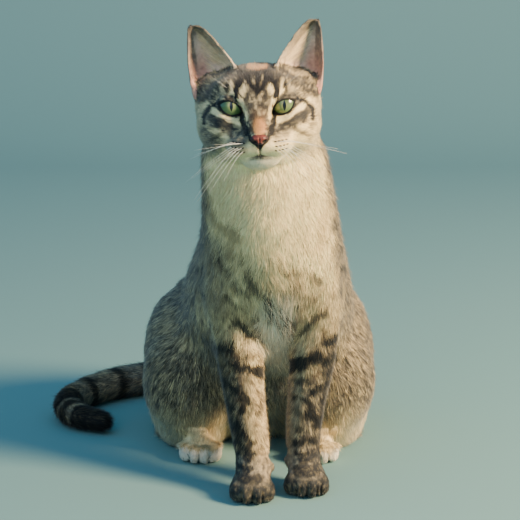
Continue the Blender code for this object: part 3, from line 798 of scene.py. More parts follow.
def head_markings(points, h):
    """Colour and ticking of the head without the ears; h holds the places in the head's own frame, in mm."""
    hx, hy, hz = h.T
    ax = np.abs(hx)
    wobble = 0.9 * noise(points, 0.0045, 21) + 0.6 * noise(points, 0.0018, 22)
    face = ramp(-hy, -6, 6)
    c = np.tile(TICKED * 0.60, (len(points), 1))
    t = np.full(len(points), 1.0)

    def lay(target, amount, still=0.7):
        nonlocal c, t
        amount = np.clip(amount, 0, 1)
        c = mix(c, target, amount)
        t = t * (1 - still * amount)

    def along(lines, half, fade=0.9, rough=0.6):
        gap = np.minimum.reduce([line_gap(ax, hz, line) for line in lines])
        return ramp(-gap + rough * wobble, -half - fade, -half + fade)

    # pale cheeks, muzzle, chin and throat, the lower face less pale on the cat's right as painted shade on the side
    # away from the key light
    lay(CREAM, 0.70 * ramp(ax + 2.5 * wobble, 33, 42) * ramp(-hz, -8, 2))
    lay(CREAM, np.where(hx < 0, 0.62, 0.85) * ramp(-hz + 2.2 * wobble, 17, 25) * ramp(-ax, -48, -32))
    lay(CREAM * 1.04, ramp(-hz + 0.16 * ax + wobble, 24, 30) * ramp(-ax, -30, -20))
    lay(WHITE * 0.94, 0.6 * patch(hx, hz, 0, -46, 16, 9))
    lay(CREAM, ramp(-hz, 46, 58) * ramp(-hy, -10, 4))
    # grey on the sides of the muzzle, and more grey on the cat's right, over the muzzle, the cheek and the whisker
    # pad, as painted shade on the side away from the key light
    lay(GREY * 0.50, np.where(hx < 0, 0.90, 0.35) * patch(ax, hz, 15.5, -20.5, 7.5, 7.5, 20), 0.1)
    lay(GREY * 0.60, (hx < 0) * 0.75 * patch(ax, hz, 36, -24, 9, 12) * ramp(-hy, -12, 0), 0.1)
    lay(GREY * 0.75, (hx < 0) * 0.60 * patch(ax, hz, 18, -28, 9, 7), 0.1)
    # the cream rings round the eyes and the places over them
    over_eye = ((9.5, -8), (10, -1), (13.0, 6.0), (18.2, 10.8), (26, 10.5))
    lay(CREAM, along((over_eye,), 1.9, 0.8) * face)
    lay(CREAM, 0.85 * along((((18.2, 10.5), (19, 18)),), 1.5, 0.8) * face)
    lay(CREAM, 0.9 * patch(ax, hz, 10.8, 13.0, 2.8, 5.4, -10) * face)
    lay(CREAM, 0.55 * patch(ax, hz, 5.2, 19, 1.5, 3.5) * face)
    lay(CREAM, along((((37.5, -0.2), (31, -4.2), (24, -9), (14.5, -11.0)),), 2.6, 0.8) * face)
    lay(CREAM, 0.6 * patch(ax, hz, 30, 21.5, 9, 2.6, -28) * face)
    lay(TICKED * 1.1, 0.7 * patch(ax, hz, 28, 12, 7, 4, 20) * face, 0.0)
    # smoky patches under the eyes, paler bands under those, dark spots in front of the ears
    smoky = ramp(-np.hypot((ax - 29.5 + 0.5 * (hz + 10.8)) / 12.0, (hz + 10.8 - 0.42 * (ax - 29.5)) / 4.0)
                 + 0.22 * wobble, -1.15, -0.75)
    lay(SMOKE, 0.97 * smoky * face, 0.85)
    lay(SMOKE, 0.65 * patch(ax, hz, 18.0, -15.5, 5.0, 3.0, 40) * face, 0.6)
    lay(CREAM, 0.85 * patch(ax, hz, 31, -18.5, 9, 2.4, 28) * face)
    lay(BLACK, 0.80 * patch(ax, hz, 45, 7, 4.5, 7.0) * ramp(-hy, -14, -4), 0.5)
    # the bridge of the nose, tan below, and the dark beside it
    bridge = ramp(-hz + 2.0 * wobble, -3, 11) * ramp(-ax + 1.2 * wobble, -8.5, -4.0) * ramp(hz, -19.5, -17.5)
    lay(TAN * 0.36, 0.85 * bridge * face)
    lay(TAN * (0.90, 0.80, 0.64), 0.9 * patch(hx, hz, 0.5, -14.5, 4.6, 6.0) * face)
    lay(SMOKE * 0.7, 0.85 * patch(ax, hz, 9.6, -17.5, 2.4, 4.2, 18) * face)
    for lines, place, depth_of in ((FACE_LINES, ax, face), (BROW_LINES, hx, ramp(-hy, -4, 3))):
        for pts, half, depth in lines:
            gap = line_gap(place, hz, pts)
            lay(BLACK, 1.2 * depth * ramp(-gap + 0.8 * wobble, -half - 0.9, -half - 0.1) * depth_of, 1.0)
    band = ramp(hz + wobble, 13.5, 17.5) * ramp(-ax + 2 * wobble, -19.0, -14.0) * ramp(-hy, -22, -12)
    lay(BLACK, 0.95 * band * ramp(np.sin(hx / 1.15 + 0.7 * wobble), -0.55, 0.15), 0.8)
    top = ramp(-np.abs(hx - 1) + wobble, -8.5, -6.5) * ramp(hz + 0.5 * wobble, 24.6, 25.8)
    lay(TAN * (1.35, 1.20, 0.92), top * ramp(-hy, -16, -5))
    # lines over the crown and the back of the head
    crown = ramp(hz, 22, 28) * ramp(hy, -8, 4) + ramp(hy, 2, 12) * ramp(hz, -30, 10)
    lines = np.sin(hx / 2.25 + 0.9 * wobble) * 0.5 + 0.5
    lay(BLACK, 0.85 * np.clip(crown, 0, 1) * ramp(lines, 0.45, 0.85) * ramp(-ax, -26, -16), 0.5)
    # under the nose and between the lips
    tip = np.abs(hx) - 0.72 * np.clip(hz + 31.0, 0, 9)
    lay(BLACK, ramp(-tip, -1.5, -0.3) * ramp(-hz, 21.5, 23.0) * ramp(hz, -32.0, -30.4) * ramp(-hy, 34, 40))
    # the skin under the nose leather painted black, as painted shade where it shows through the nostrils
    lay(BLACK, ramp(-np.hypot(hx / 7.4, (hz + 22.6) / 5.0), -1.10, -0.95) * ramp(-hy, 40, 43) * ramp(-hz, 19.5, 21.5))
    front = ramp(-hy, 30, 36)
    lay(SMOKE * 0.6, 0.7 * ramp(-ax, -0.9, -0.3) * ramp(-hz, 28, 30) * ramp(hz, -37.5, -36.5) * front)
    lips = ramp(-np.abs(hz - mouth_height(hx)), -1.0, -0.3) * ramp(-ax, -10.5, -4) * ramp(-hy, 28, 34)
    lay(SMOKE * 0.7, 0.85 * lips)
    lay(SMOKE * 0.5, 0.85 * ramp(-np.hypot(hx / 3.6, (hz + 36.0) / 1.7), -1.25, -0.7) * front)
    lay(GREY, 0.45 * ramp(-np.hypot(hx / 8.0, (hz + 38.6) / 1.7), -1.3, -0.7) * front)
    for side in (-1, 1):
        gap = opening(points, side)[0]
        lay(BLACK, ramp(-gap + 0.01 * wobble, -0.19, -0.12), 1.0)
    return c, t


def in_ear_cup(normal):
    """True where an ear's skin faces forward, in the head's own frame."""
    return (normal @ HEAD_TURN)[:, 1] < -0.15


def ear_markings(points, normal, h):
    """Colour and ticking of the ears, outside and in the cup."""
    across, up, _ = ear_place(h)
    rough = noise(points, 0.0022, 23)
    outside = mix(np.tile(TICKED * 0.8, (len(points), 1)), BLACK, 0.75 * ramp(up + 0.06 * rough, 0.60, 0.95))
    outside = mix(outside, BLACK, 0.40 * ramp(np.abs(across - 0.5), 0.40, 0.5) * ramp(up, 0.1, 0.4))
    rim = np.maximum(ramp(across + 0.02 * rough, 0.94, 0.99), ramp(-across, -0.05, -0.01))
    inside = np.tile(EAR_BROWN, (len(points), 1))
    for target, amount in (
            (GREY * 1.5, ramp(up, 0.45, 1.0) * 0.5),
            (PINK * 0.8, 0.75 * ramp(across, 0.50, 0.85) * ramp(-up, -0.80, -0.35)),
            (PINK * 1.05, 0.8 * ramp(-up, -0.20, -0.04) * ramp(across, 0.35, 0.6)),
            (CREAM * 0.8, 0.5 * ramp(-across, -0.45, -0.10)),
            (SMOKE, 0.60 * rim * ramp(up, 0.25, 0.6)), (SMOKE, 0.75 * ramp(up + 0.05 * rough, 0.70, 1.0))):
        inside = mix(inside, target, amount)
    cup = in_ear_cup(normal)
    return np.where(cup[:, None], inside, outside), np.where(cup, 0.25, 0.75)


def markings(points, normal, kinds):
    """The coat's colour and how strongly it is ticked, from 0 to 1, at places on the skin."""
    h = in_head(points)
    colour, tick = body_markings(points, normal, kinds)
    head, ear = of(kinds, *HEAD_KINDS), of(kinds, "ear")
    for mask, (c, t) in ((head, head_markings(points, h)), (ear, ear_markings(points, normal, h))):
        colour = np.where(mask[:, None], c, colour)
        tick = np.where(mask, t, tick)
    broad = np.where(head | ear, 0.8, 0.35)
    grain = 1.05 * noise(points, 0.0015, 61) + broad * noise(points, 0.0032, 62)
    colour = mix(colour, BLACK * 1.3, tick * ramp(grain, 0.05, 0.55) * 0.78)
    colour = mix(colour, CREAM, tick * ramp(-grain, 0.12, 0.60) * 0.42)
    return np.clip(colour, 0.0, 1.0), np.clip(tick, 0.0, 1.0)


# ---------------------------------------------------------------- materials
def nodes_of(name):
    """A new material, its node tree and its shader."""
    material = bpy.data.materials.new(name)
    material.use_nodes = True
    tree = material.node_tree
    return material, tree, tree.nodes["Principled BSDF"]


def plug(tree, node, inputs):
    """Gives a node's sockets their numbers, or joins them to the outputs they come from."""
    for key, value in inputs.items():
        if isinstance(value, bpy.types.NodeSocket):
            tree.links.new(value, node.inputs[key])
        else:
            node.inputs[key].default_value = value


def add(tree, kind_name, inputs=None, **settings):
    node = tree.nodes.new(kind_name)
    for key, value in settings.items():
        setattr(node, key, value)
    plug(tree, node, inputs or {})
    return node


def tone_of(tree, colour):
    """The output of a new node with one colour."""
    node = add(tree, "ShaderNodeRGB")
    node.outputs[0].default_value = (*colour, 1)
    return node.outputs[0]


def varied(tree, shader, colour_socket, size, colour_span, rough, bump_size, bump_height):
    """Joins a colour to the shader with noise in its brightness, its roughness and its bump."""
    place = add(tree, "ShaderNodeTexCoord").outputs["Object"]
    cloud = add(tree, "ShaderNodeTexNoise", {"Scale": 1.0 / size, "Detail": 5.0, "Vector": place}).outputs["Fac"]
    span = add(tree, "ShaderNodeMapRange",
               {"To Min": 1.0 - colour_span, "To Max": 1.0 + colour_span, "Value": cloud})
    product = add(tree, "ShaderNodeVectorMath", {0: colour_socket, "Scale": span.outputs["Result"]},
                  operation="SCALE")
    roughness = add(tree, "ShaderNodeMapRange", {"To Min": rough[0], "To Max": rough[1], "Value": cloud})
    grain = add(tree, "ShaderNodeTexNoise", {"Scale": 1.0 / bump_size, "Detail": 3.0, "Vector": place})
    bump = add(tree, "ShaderNodeBump", {"Strength": 0.6, "Distance": bump_height, "Height": grain.outputs["Fac"]})
    plug(tree, shader, {"Base Color": product.outputs["Vector"], "Roughness": roughness.outputs["Result"],
                        "Normal": bump.outputs["Normal"]})


def painted_material(name, size, span, rough, bump_size, bump_height, shader_inputs):
    """A material whose colour is the one painted on the mesh."""
    material, tree, shader = nodes_of(name)
    source = add(tree, "ShaderNodeAttribute", attribute_name="coat")
    varied(tree, shader, source.outputs["Color"], size, span, rough, bump_size, bump_height)
    plug(tree, shader, shader_inputs)
    return material


def hair_sheen(weight):
    return {"Specular IOR Level": 0.25, "Sheen Weight": weight, "Sheen Roughness": 0.45}


COAT_FINISH = painted_material("coat_hair", 0.004, 0.16, (0.55, 0.75), 0.0008, 0.0002, hair_sheen(0.18))
SKIN_FINISH = painted_material("skin_short_hair", 0.003, 0.18, (0.55, 0.8), 0.0006, 0.0005, hair_sheen(0.10))


def paint(mesh, colours):
    """Stores a colour at each vertex, for the materials to read."""
    layer = mesh.color_attributes.new("coat", "FLOAT_COLOR", "POINT")
    rgba = np.ones((len(colours), 4))
    rgba[:, :3] = colours
    layer.data.foreach_set("color", rgba.ravel())


def plain_material(name, colour, *texture):
    material, tree, shader = nodes_of(name)
    varied(tree, shader, tone_of(tree, colour), *texture)
    return material


def placed(name, mesh, material, slot, *replaced):
    """Puts a mesh in the scene as a piece that rides on the root."""
    ob = in_scene(name, mesh)
    mesh.materials.clear()
    mesh.materials.append(material)
    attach(ob, "root")
    if replaced:
        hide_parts(*replaced)


skin_colour, skin_tick = markings(SKIN, SKIN_NORMAL, kind)
flicker = 1.0 + 0.25 * skin_tick * noise(SKIN, 0.0016, 31)
paint(skin_mesh, np.clip(skin_colour * (0.82 * flicker)[:, None], 0, 1))
skin_mesh.shade_smooth()
placed("skin", skin_mesh, SKIN_FINISH, "ticked_coat", *[n for n in FLESH if n != "nose"])


# ---------------------------------------------------------------- the coat
def triangle_mesh(name, verts, tris, normals=None, colours=None, uv=None):
    """A mesh of triangles, with free normals, colours and an OFBake map where they are given."""
    mesh = bpy.data.meshes.new(name)
    mesh.vertices.add(len(verts))
    mesh.vertices.foreach_set("co", np.ascontiguousarray(verts, np.float32).ravel())
    mesh.loops.add(len(tris) * 3)
    mesh.loops.foreach_set("vertex_index", np.ascontiguousarray(tris, np.int32).ravel())
    mesh.polygons.add(len(tris))
    mesh.polygons.foreach_set("loop_start", np.arange(len(tris), dtype=np.int32) * 3)
    mesh.update(calc_edges=True)
    mesh.shade_smooth()
    if colours is not None:
        paint(mesh, colours)
    if uv is not None:
        layer = mesh.uv_layers.new(name="OFBake")
        layer.uv.foreach_set("vector", np.ascontiguousarray(uv[tris.ravel()], np.float32).ravel())
    if normals is not None:
        free = mesh.attributes.new("custom_normal", "FLOAT_VECTOR", "POINT")
        free.data.foreach_set("vector", np.ascontiguousarray(normals, np.float32).ravel())
    return mesh


ROOT_DEPTH = 0.0004  # how far a tuft starts below the skin
ROOT_FLOOR = 0.0002  # the lowest place of a tuft's root and of its tip
TIP_FLOOR = 0.0004
# Corners of a tuft: two on the skin, one over them and the tip
TUFT_FACES = np.array(((0, 2, 1), (0, 1, 3), (0, 3, 2), (1, 2, 3)))
TUFT_UV = np.array(((-1.0, -1.0), (1.0, -1.0), (0.0, -0.6), (0.0, 1.0))) * 0.0015


def tuft_mesh(name, root, normal, flow, length, width, lift, colours, uv, rng):
    """One mesh of pointed tufts. Lengths in metres, lift in radians, colours for root, ridge and tip."""
    count = len(root)
    side = np.cross(normal, flow)
    rise, run = np.sin(lift)[:, None], np.cos(lift)[:, None]
    l, w = length[:, None], width[:, None]
    start = root - normal * ROOT_DEPTH
    sway = (rng.random(count)[:, None] - 0.5) * 0.16
    tip = start + l * (flow * run + normal * rise + side * sway * 0.4)
    tip[:, 2] = np.maximum(tip[:, 2], TIP_FLOOR)
    corners = [start - side * 0.5 * w, start + side * 0.5 * w, start + normal * 0.5 * w, tip]
    for corner in corners:
        corner[:, 2] = np.maximum(corner[:, 2], ROOT_FLOOR)
    soft = unit(normal + (rng.random((count, 3)) - 0.5) * 0.5 + flow * 0.20)
    shown = [unit(soft - side * 0.6), unit(soft + side * 0.6), soft, unit(soft + flow * 0.25)]
    tone = [colours[0], colours[0], colours[1], colours[2]]
    verts, shown, tone = (np.stack(group, axis=1) for group in (corners, shown, tone))
    tris = (TUFT_FACES[None] + 4 * np.arange(count)[:, None, None]).reshape(-1, 3)
    place = (uv[:, None, :] + TUFT_UV[None]).reshape(-1, 2)
    return triangle_mesh(name, verts.reshape(-1, 3), tris, shown.reshape(-1, 3), tone.reshape(-1, 3), place)


def turned(flow, normal, angle):
    """The flow turned within the surface, by an angle in radians."""
    side = np.cross(normal, flow)
    return flow * np.cos(angle)[:, None] + side * np.sin(angle)[:, None]


AREA = np.linalg.norm(np.cross(SKIN[TRI[:, 1]] - SKIN[TRI[:, 0]], SKIN[TRI[:, 2]] - SKIN[TRI[:, 0]]), axis=1) * 0.5


def scatter(density, rng):
    """Places on the skin, given tufts for each square millimetre at its points: the faces and the places in them."""
    weight = AREA / MM ** 2 * density[TRI].mean(axis=1)
    total = np.cumsum(weight)
    count = int(total[-1])
    spots = (np.arange(count) + rng.random(count)) / count * total[-1]
    face = np.minimum(np.searchsorted(total, spots), len(TRI) - 1)
    a, b = rng.random(count), rng.random(count)
    flip = a + b > 1
    a, b = np.where(flip, 1 - a, a), np.where(flip, 1 - b, b)
    return face, np.stack((1 - a - b, a, b), axis=1)


def blend_at(values, face, bary):
    return np.einsum("nkc,nk->nc", values[TRI[face]], bary)


def bare(points, kinds):
    """1 where hair grows, 0 on the nose, the lids' edges and between the lids."""
    grows = np.ones(len(points))
    for side in (-1, 1):
        grows *= ramp(opening(points, side)[0], 0.05, 0.08)
    h = in_head(points)
    nose = np.hypot(h[:, 0] / 6.8, (h[:, 2] + 22.6) / 4.6)
    on_nose = (nose < 1.0) & (h[:, 1] < -42)
    grows[on_nose | of(kinds, "nose") & (h[:, 1] < -44)] = 0.0
    return grows


def wrap(points, piece):
    """Each root's place on an unwrap of its own part of the skin."""
    if piece == "coat_tail":
        along, _, place = on_path(points)
        out = points - place
        u = np.arctan2(out[:, 2], np.hypot(out[:, 0], out[:, 1]) * np.sign(out @ np.array((0.3, 1.0, 0.0)) + 1e-9))
        u, v = u / (2 * math.pi) + 0.5, along
    else:
        middle = (points.min(axis=0) + points.max(axis=0)) / 2
        out = points - middle
        u = np.arctan2(out[:, 0], out[:, 1]) / (2 * math.pi) + 0.5
        v = out[:, 2]
        if "head" in piece or "face" in piece:
            v = -np.arccos(np.clip(unit(out)[:, 2], -1, 1))
    v = (v - v.min()) / max(v.max() - v.min(), 1e-6)
    u = (u - u.min()) / max(u.max() - u.min(), 1e-6)
    return np.stack((0.01 + 0.98 * u, 0.01 + 0.98 * v), axis=1)


# Where one coat piece ends and the next begins: metres, and mm in the head's own frame for the face
CHEST_BACK, RUMP_TOP, TRUNK_MIDDLE, FORELEG_MIDDLE, FACE_BACK = -0.085, 0.10, 0.006, 0.015, -14


def piece_names(points, kinds):
    """The coat piece that each tuft belongs to."""
    x, y, z = points.T
    h = in_head(points)
    names = np.full(len(points), "coat_back", dtype=object)
    names[y < CHEST_BACK] = "coat_chest"
    names[of(kinds, "trunk") & (y >= CHEST_BACK) & (z < RUMP_TOP)] = "coat_rump"
    names[of(kinds, "neck")] = "coat_neck"
    for kinds_in, stem in ((("thigh",), "haunch"), (("upper_arm", "forearm"), "foreleg"),
                           (("forepaw",), "forepaw"), (("hind_foot",), "hind_foot")):
        mask = of(kinds, *kinds_in)
        split = x > (TRUNK_MIDDLE if stem in ("haunch", "hind_foot") else FORELEG_MIDDLE)
        names[mask & split] = f"coat_{stem}_left"
        names[mask & ~split] = f"coat_{stem}_right"
    names[of(kinds, "tail")] = "coat_tail"
    head, ear = of(kinds, *HEAD_KINDS), of(kinds, "ear")
    names[head] = "coat_head"
    names[head & (h[:, 1] < FACE_BACK)] = "coat_face"
    names[ear & (h[:, 0] > 0)] = "coat_ear_left"
    names[ear & (h[:, 0] <= 0)] = "coat_ear_right"
    return names


def ticked(colour, tick, rng):
    """Root, ridge and tip colours of each tuft: pale below, banded, and dark or pale at the tip."""
    count = len(colour)
    level = rng.random(count)
    strength = tick[:, None]
    value = (0.86 + 0.30 * rng.random(count))[:, None]
    dark_tip = (level < 0.50)[:, None]
    root = colour * (1 - 0.35 * strength) * value * (0.84 - 0.14 * strength)
    band = colour * (1 + 0.25 * strength) * value
    tip = np.where(dark_tip, colour * (1 - 0.80 * strength), colour * (1 + 0.30 * strength)) * value
    return [np.clip(c, 0.004, 0.95) for c in (root, band, tip)]


COAT_SLOTS = {"coat_tail": "dark_coat", "coat_forepaw_left": "dark_coat", "coat_forepaw_right": "dark_coat",
              "coat_chest": "pale_coat", "coat_hind_foot_left": "pale_coat", "coat_hind_foot_right": "pale_coat"}
CUP_COUNT = 2.4  # tufts for each square millimetre in the cups of the ears


def make_coat():
    """All the tufts of the coat, in one mesh for each part of the body."""
    rng = np.random.default_rng(7)
    density = params[:, 4] * bare(SKIN, kind) * COUNT
    density = np.where(of(kind, "ear") & in_ear_cup(SKIN_NORMAL), CUP_COUNT, density)
    face, bary = scatter(density, rng)
    # places, directions and rows of COAT at the roots
    root = blend_at(SKIN, face, bary)
    normal = unit(blend_at(SKIN_NORMAL, face, bary))
    flow = along_skin(blend_at(FLOW, face, bary), normal)
    values = blend_at(params, face, bary)
    kinds = kind[TRI[face, 0]]
    keep = bare(root, kinds) > 0.5
    keep &= ~((root[:, 2] < 0.0035) & (normal[:, 2] < -0.3))
    root, normal, flow, values, kinds = (v[keep] for v in (root, normal, flow, values, kinds))
    count = len(root)
    in_cup = of(kinds, "ear") & in_ear_cup(normal)
    ear_across, ear_up, ear_side = ear_place(in_head(root))
    fringe = in_cup & (ear_across < 0.62 - 0.25 * ear_up) & (ear_across > 0.05) & (ear_up < 0.80)
    fringe &= rng.random(count) < 0.62 - 0.40 * ear_across
    sweep = field(ear_side * 0.80, -0.22, 0.62) @ HEAD_TURN.T

    lock = noise(root, 0.012, 41) * 0.9 + noise(root, 0.005, 42) * 0.8
    loose = ramp(values[:, 1], 3.0, 11.0)
    calm = np.where(of(kinds, "thigh", "tail"), 0.35, 1.0)
    angle = lock * (0.16 + 0.30 * loose) * calm + (rng.random(count) - 0.5) * (0.45 + 0.25 * loose)
    flow = turned(flow, normal, angle)
    guard = rng.random(count) < 0.05
    length = values[:, 1] * (0.75 + 0.5 * rng.random(count)) * np.where(guard, 1.35, 1.0)
    x, y, z = root.T
    trunk = of(kinds, "trunk")
    streak = trunk * bell((x - 0.013) / 0.016)
    streak = streak * ramp(-normal[:, 1], 0.2, 0.5) * ramp(z, 0.112, 0.125) * ramp(-z, -0.19, -0.165)
    length = np.where(streak > 0.3, np.minimum(length, values[:, 1] * 1.2), length) * (1 + 0.8 * streak)
    bib = trunk * np.exp(-((x - 0.013) / 0.013) ** 4) * (y < -0.125) * (normal[:, 1] < 0.2)
    bib = bib * ramp(z - 0.9 * np.abs(x - 0.013), 0.084, 0.100) * ramp(-z, -0.140, -0.120)
    belly = trunk * ramp(-z, -0.045, -0.030) * (np.abs(x - 0.012) < 0.035)
    length = length * (1 + 1.1 * bib + 1.0 * belly * (normal[:, 1] < 0.3))
    fringe_length = (12.0 - 7.5 * ear_up) * (0.6 + 0.5 * rng.random(count))
    length = np.where(in_cup, np.where(fringe, fringe_length, length * 0.55), length)
    flow = np.where(fringe[:, None], along_skin(sweep, normal), flow)
    width = values[:, 2] * (0.75 + 0.5 * rng.random(count)) * np.where(guard, 0.55, 1.0) * (1 + 0.5 * bib)
    lift = values[:, 3] + (rng.random(count) - 0.5) * 9.0 + np.where(guard, 7.0, 0.0) + 3.0 * noise(root, 0.008, 43)
    lift = lift * (1 - 0.35 * streak) * (1 - 0.5 * bib)
    lift = np.radians(np.where(in_cup, np.where(fringe, 14.0 + 8.0 * rng.random(count), 7.0), lift))
    width = np.where(fringe, 0.27, width)
    colour, tick = markings(root, normal, kinds)
    colour = np.where(fringe[:, None], mix(colour, CREAM, 0.9 * rng.random(count)) * 0.95, colour)
    tones = ticked(colour, tick, rng)
    tones = [np.clip(t * (1 + 0.10 * noise(root, 0.006, 44))[:, None], 0, 1) for t in tones]
    names = piece_names(root, kinds)
    for name in sorted(set(names)):
        m = names == name
        mesh = tuft_mesh(name, root[m], normal[m], flow[m], length[m] * MM, width[m] * MM, lift[m],
                         [t[m] for t in tones], wrap(root[m], name), rng)
        placed(name, mesh, COAT_FINISH, COAT_SLOTS.get(name, "ticked_coat"))


make_coat()


# ---------------------------------------------------------------- whiskers and claws
SKIN_TREE = BVHTree.FromPolygons([tuple(p) for p in SKIN], [tuple(map(int, t)) for t in TRI])
WHISKER_ROWS = (-25.6, -29.2, -32.3)
# From the row and the place in it: reach to the side, forward and up, in mm
WHISKERS = tuple(
    (row, step, (25.0 + 5.0 * step - 3.0 * row, 7.0 - 5.5 * step, 1.0 + 3.0 * (2 - step) - 13.0 * row - 2.0 * step))
    for row in range(3) for step in range(4))
# Across and up on the face, and the same reach
BROW_HAIRS = ((18, 13, (9, 9, 18)), (22, 14, (15, 8, 15)))
WHISKER_RADIUS = 0.00020
BROW_HAIR_RADIUS = 0.00010
HAIR_DEPTH = 0.0006  # how far a whisker starts below the skin
SPOT_HAIRS = 10  # short dark hairs at each whisker's root
SPOT_LENGTH = 0.0019
SPOT_WIDTH = 0.00040


def on_skin(side, x, z):
    """The place and direction out of the skin, straight ahead of a point of the face in mm."""
    start = Vector(from_head(((side * x, -80.0, z),))[0])
    forward = Vector(HEAD_TURN @ np.array((0.0, 1.0, 0.0)))
    place, normal, _, _ = SKIN_TREE.ray_cast(start, forward)
    return np.array(place), np.array(normal)


def thread(points, radius, sides=5):
    """Vertices and triangles of a hair that thins along its points."""
    verts, tris = [], []
    for k, point in enumerate(points):
        ahead = unit(points[min(k + 1, len(points) - 1)] - points[max(k - 1, 0)])
        across = unit(np.cross(ahead, np.array((0.1, 0.2, 1.0))))
        other = np.cross(ahead, across)
        thin = radius * (1.0 - 0.85 * k / (len(points) - 1))
        for j in range(sides):
            a = 2 * math.pi * j / sides
            verts.append(point + thin * (across * math.cos(a) + other * math.sin(a)))
    for k in range(len(points) - 1):
        for j in range(sides):
            a, b = k * sides + j, k * sides + (j + 1) % sides
            tris += [(a, b, b + sides), (a, b + sides, a + sides)]
    last = (len(points) - 1) * sides
    tris += [(0, j + 1, j) for j in range(1, sides - 1)]
    tris += [(last, last + j, last + j + 1) for j in range(1, sides - 1)]
    return np.array(verts), np.array(tris)


def joined(parts):
    """The vertices and triangles of several parts, as one."""
    verts, tris, base = [], [], 0
    for part_verts, part_tris in parts:
        verts.append(part_verts)
        tris.append(part_tris + base)
        base += len(part_verts)
    return np.concatenate(verts), np.concatenate(tris)


def spread_map(mesh, verts):
    """An OFBake map of hairs: their places as seen from the front."""
    low, high = verts.min(axis=0), verts.max(axis=0)
    flat = 0.02 + 0.96 * (verts - low) / (high - low)
    corner = read(mesh.loops, "vertex_index", 1, np.int64)[:, 0]
    layer = mesh.uv_layers.new(name="OFBake")
    layer.uv.foreach_set("vector", np.ascontiguousarray(flat[corner][:, (0, 2)], np.float32).ravel())


def make_whiskers():
    """The whiskers and the hairs over the eyes, as thin tapered threads."""
    rng = np.random.default_rng(19)
    material = plain_material("whisker", shade(238, 232, 218), 0.02, 0.12, (0.30, 0.45), 0.001, 0.00002)
    for side, word in ((-1, "right"), (1, "left")):
        parts, spots = [], []
        for row, step, reach in WHISKERS:
            x, z = 12.0 + 2.7 * step + 0.8 * (row == 1), WHISKER_ROWS[row] + 0.25 * step
            root, normal = on_skin(side, x, z)
            spots.append((root, normal))
            reach = np.array((side * reach[0], -reach[1], reach[2])) * (0.85 + 0.35 * rng.random())
            out = np.array((side * 0.75, -0.62, 0.10))
            t = np.linspace(0, 1, 11)[:, None]
            local = out * 13.0 * t + (reach - out * 13.0) * t ** 2 - np.array((0, 0, 7.0)) * t ** 2 * (1 - 0.2 * t)
            parts.append(thread(root - normal * HAIR_DEPTH + local * MM @ HEAD_TURN.T, WHISKER_RADIUS))
        for x, z, reach in BROW_HAIRS:
            root, normal = on_skin(side, x, z)
            t = np.linspace(0, 1, 8)[:, None]
            reach = np.array((side * reach[0], -reach[1], reach[2])) * (0.8 + 0.3 * rng.random())
            local = reach * t + np.array((side * 2.0, 9.0, -2.0)) * t ** 2
            parts.append(thread(root - normal * HAIR_DEPTH + local * MM @ HEAD_TURN.T, BROW_HAIR_RADIUS))
        verts, tris = joined(parts)
        mesh = triangle_mesh(f"whiskers_{word}", verts, tris)
        spread_map(mesh, verts)
        placed(f"whiskers_{word}", mesh, material, "pale_coat")
        make_spots(word, spots, rng)


def make_spots(word, spots, rng):
    """Short dark hairs at the whiskers' roots."""
    root, normal = (np.repeat(np.array(group), SPOT_HAIRS, axis=0) for group in zip(*spots))
    count = len(root)
    side = np.sign(in_head(root)[:, 0])
    flow = along_skin(field(side, 0.35, -0.10) @ HEAD_TURN.T, normal)
    up = np.cross(normal, flow)
    along, beside = rng.random((2, count, 1))
    root = root + flow * 0.0012 * (along - 0.9) + up * 0.0008 * (beside - 0.5) + normal * 0.0006
    tone = np.tile(BLACK * 1.4, (count, 1))
    mesh = tuft_mesh(f"whisker_spots_{word}", root, normal, flow,
                     np.full(count, SPOT_LENGTH), np.full(count, SPOT_WIDTH),
                     np.radians(np.full(count, 9.0)), [tone] * 3, wrap(root, "spots"), rng)
    placed(f"whisker_spots_{word}", mesh, COAT_FINISH, "dark_coat")


# Each claw's place across, from the middle of the toes, and back from the paw's front, in metres
CLAW_PLACES = ((-0.0130, 0.0070), (-0.0047, 0.0008), (0.0047, 0.0), (0.0130, 0.0055))
CLAW_HEIGHT = 0.0062
CLAW_RADIUS = 0.0006


def make_claws():
    """The tips of the claws, at the front of each toe."""
    material = plain_material("claw", shade(128, 118, 102), 0.003, 0.15, (0.25, 0.4), 0.0008, 0.00003)
    for name in PAWS:
        middle, front = paw_place(name)
        parts = []
        for across, back in CLAW_PLACES:
            t = np.linspace(0, 1, 8)[:, None]
            start = np.array((middle + across, front + back + 0.0042, CLAW_HEIGHT))
            path = start + t * np.array((0.0, -0.0032, 0.0)) + t ** 2 * np.array((0.0, 0.0, -0.0030))
            parts.append(thread(path, CLAW_RADIUS, sides=8))
        mesh = triangle_mesh(f"claws_{name}", *joined(parts))
        placed(f"claws_{name}", mesh, material, "pale_coat")


make_whiskers()
make_claws()


# ---------------------------------------------------------------- eyes
IRIS_STOPS = ((0.14, shade(140, 141, 84)), (0.42, shade(104, 121, 70)), (0.80, shade(74, 96, 58)),
              (1.00, shade(46, 62, 46)), (1.10, shade(10, 12, 10)))
PUPIL_BLACK = (0.002, 0.002, 0.003, 1)
PUPIL_HALF_WIDTH = 0.135  # in radii of the iris, as is the next
PUPIL_HALF_HEIGHT = 0.44


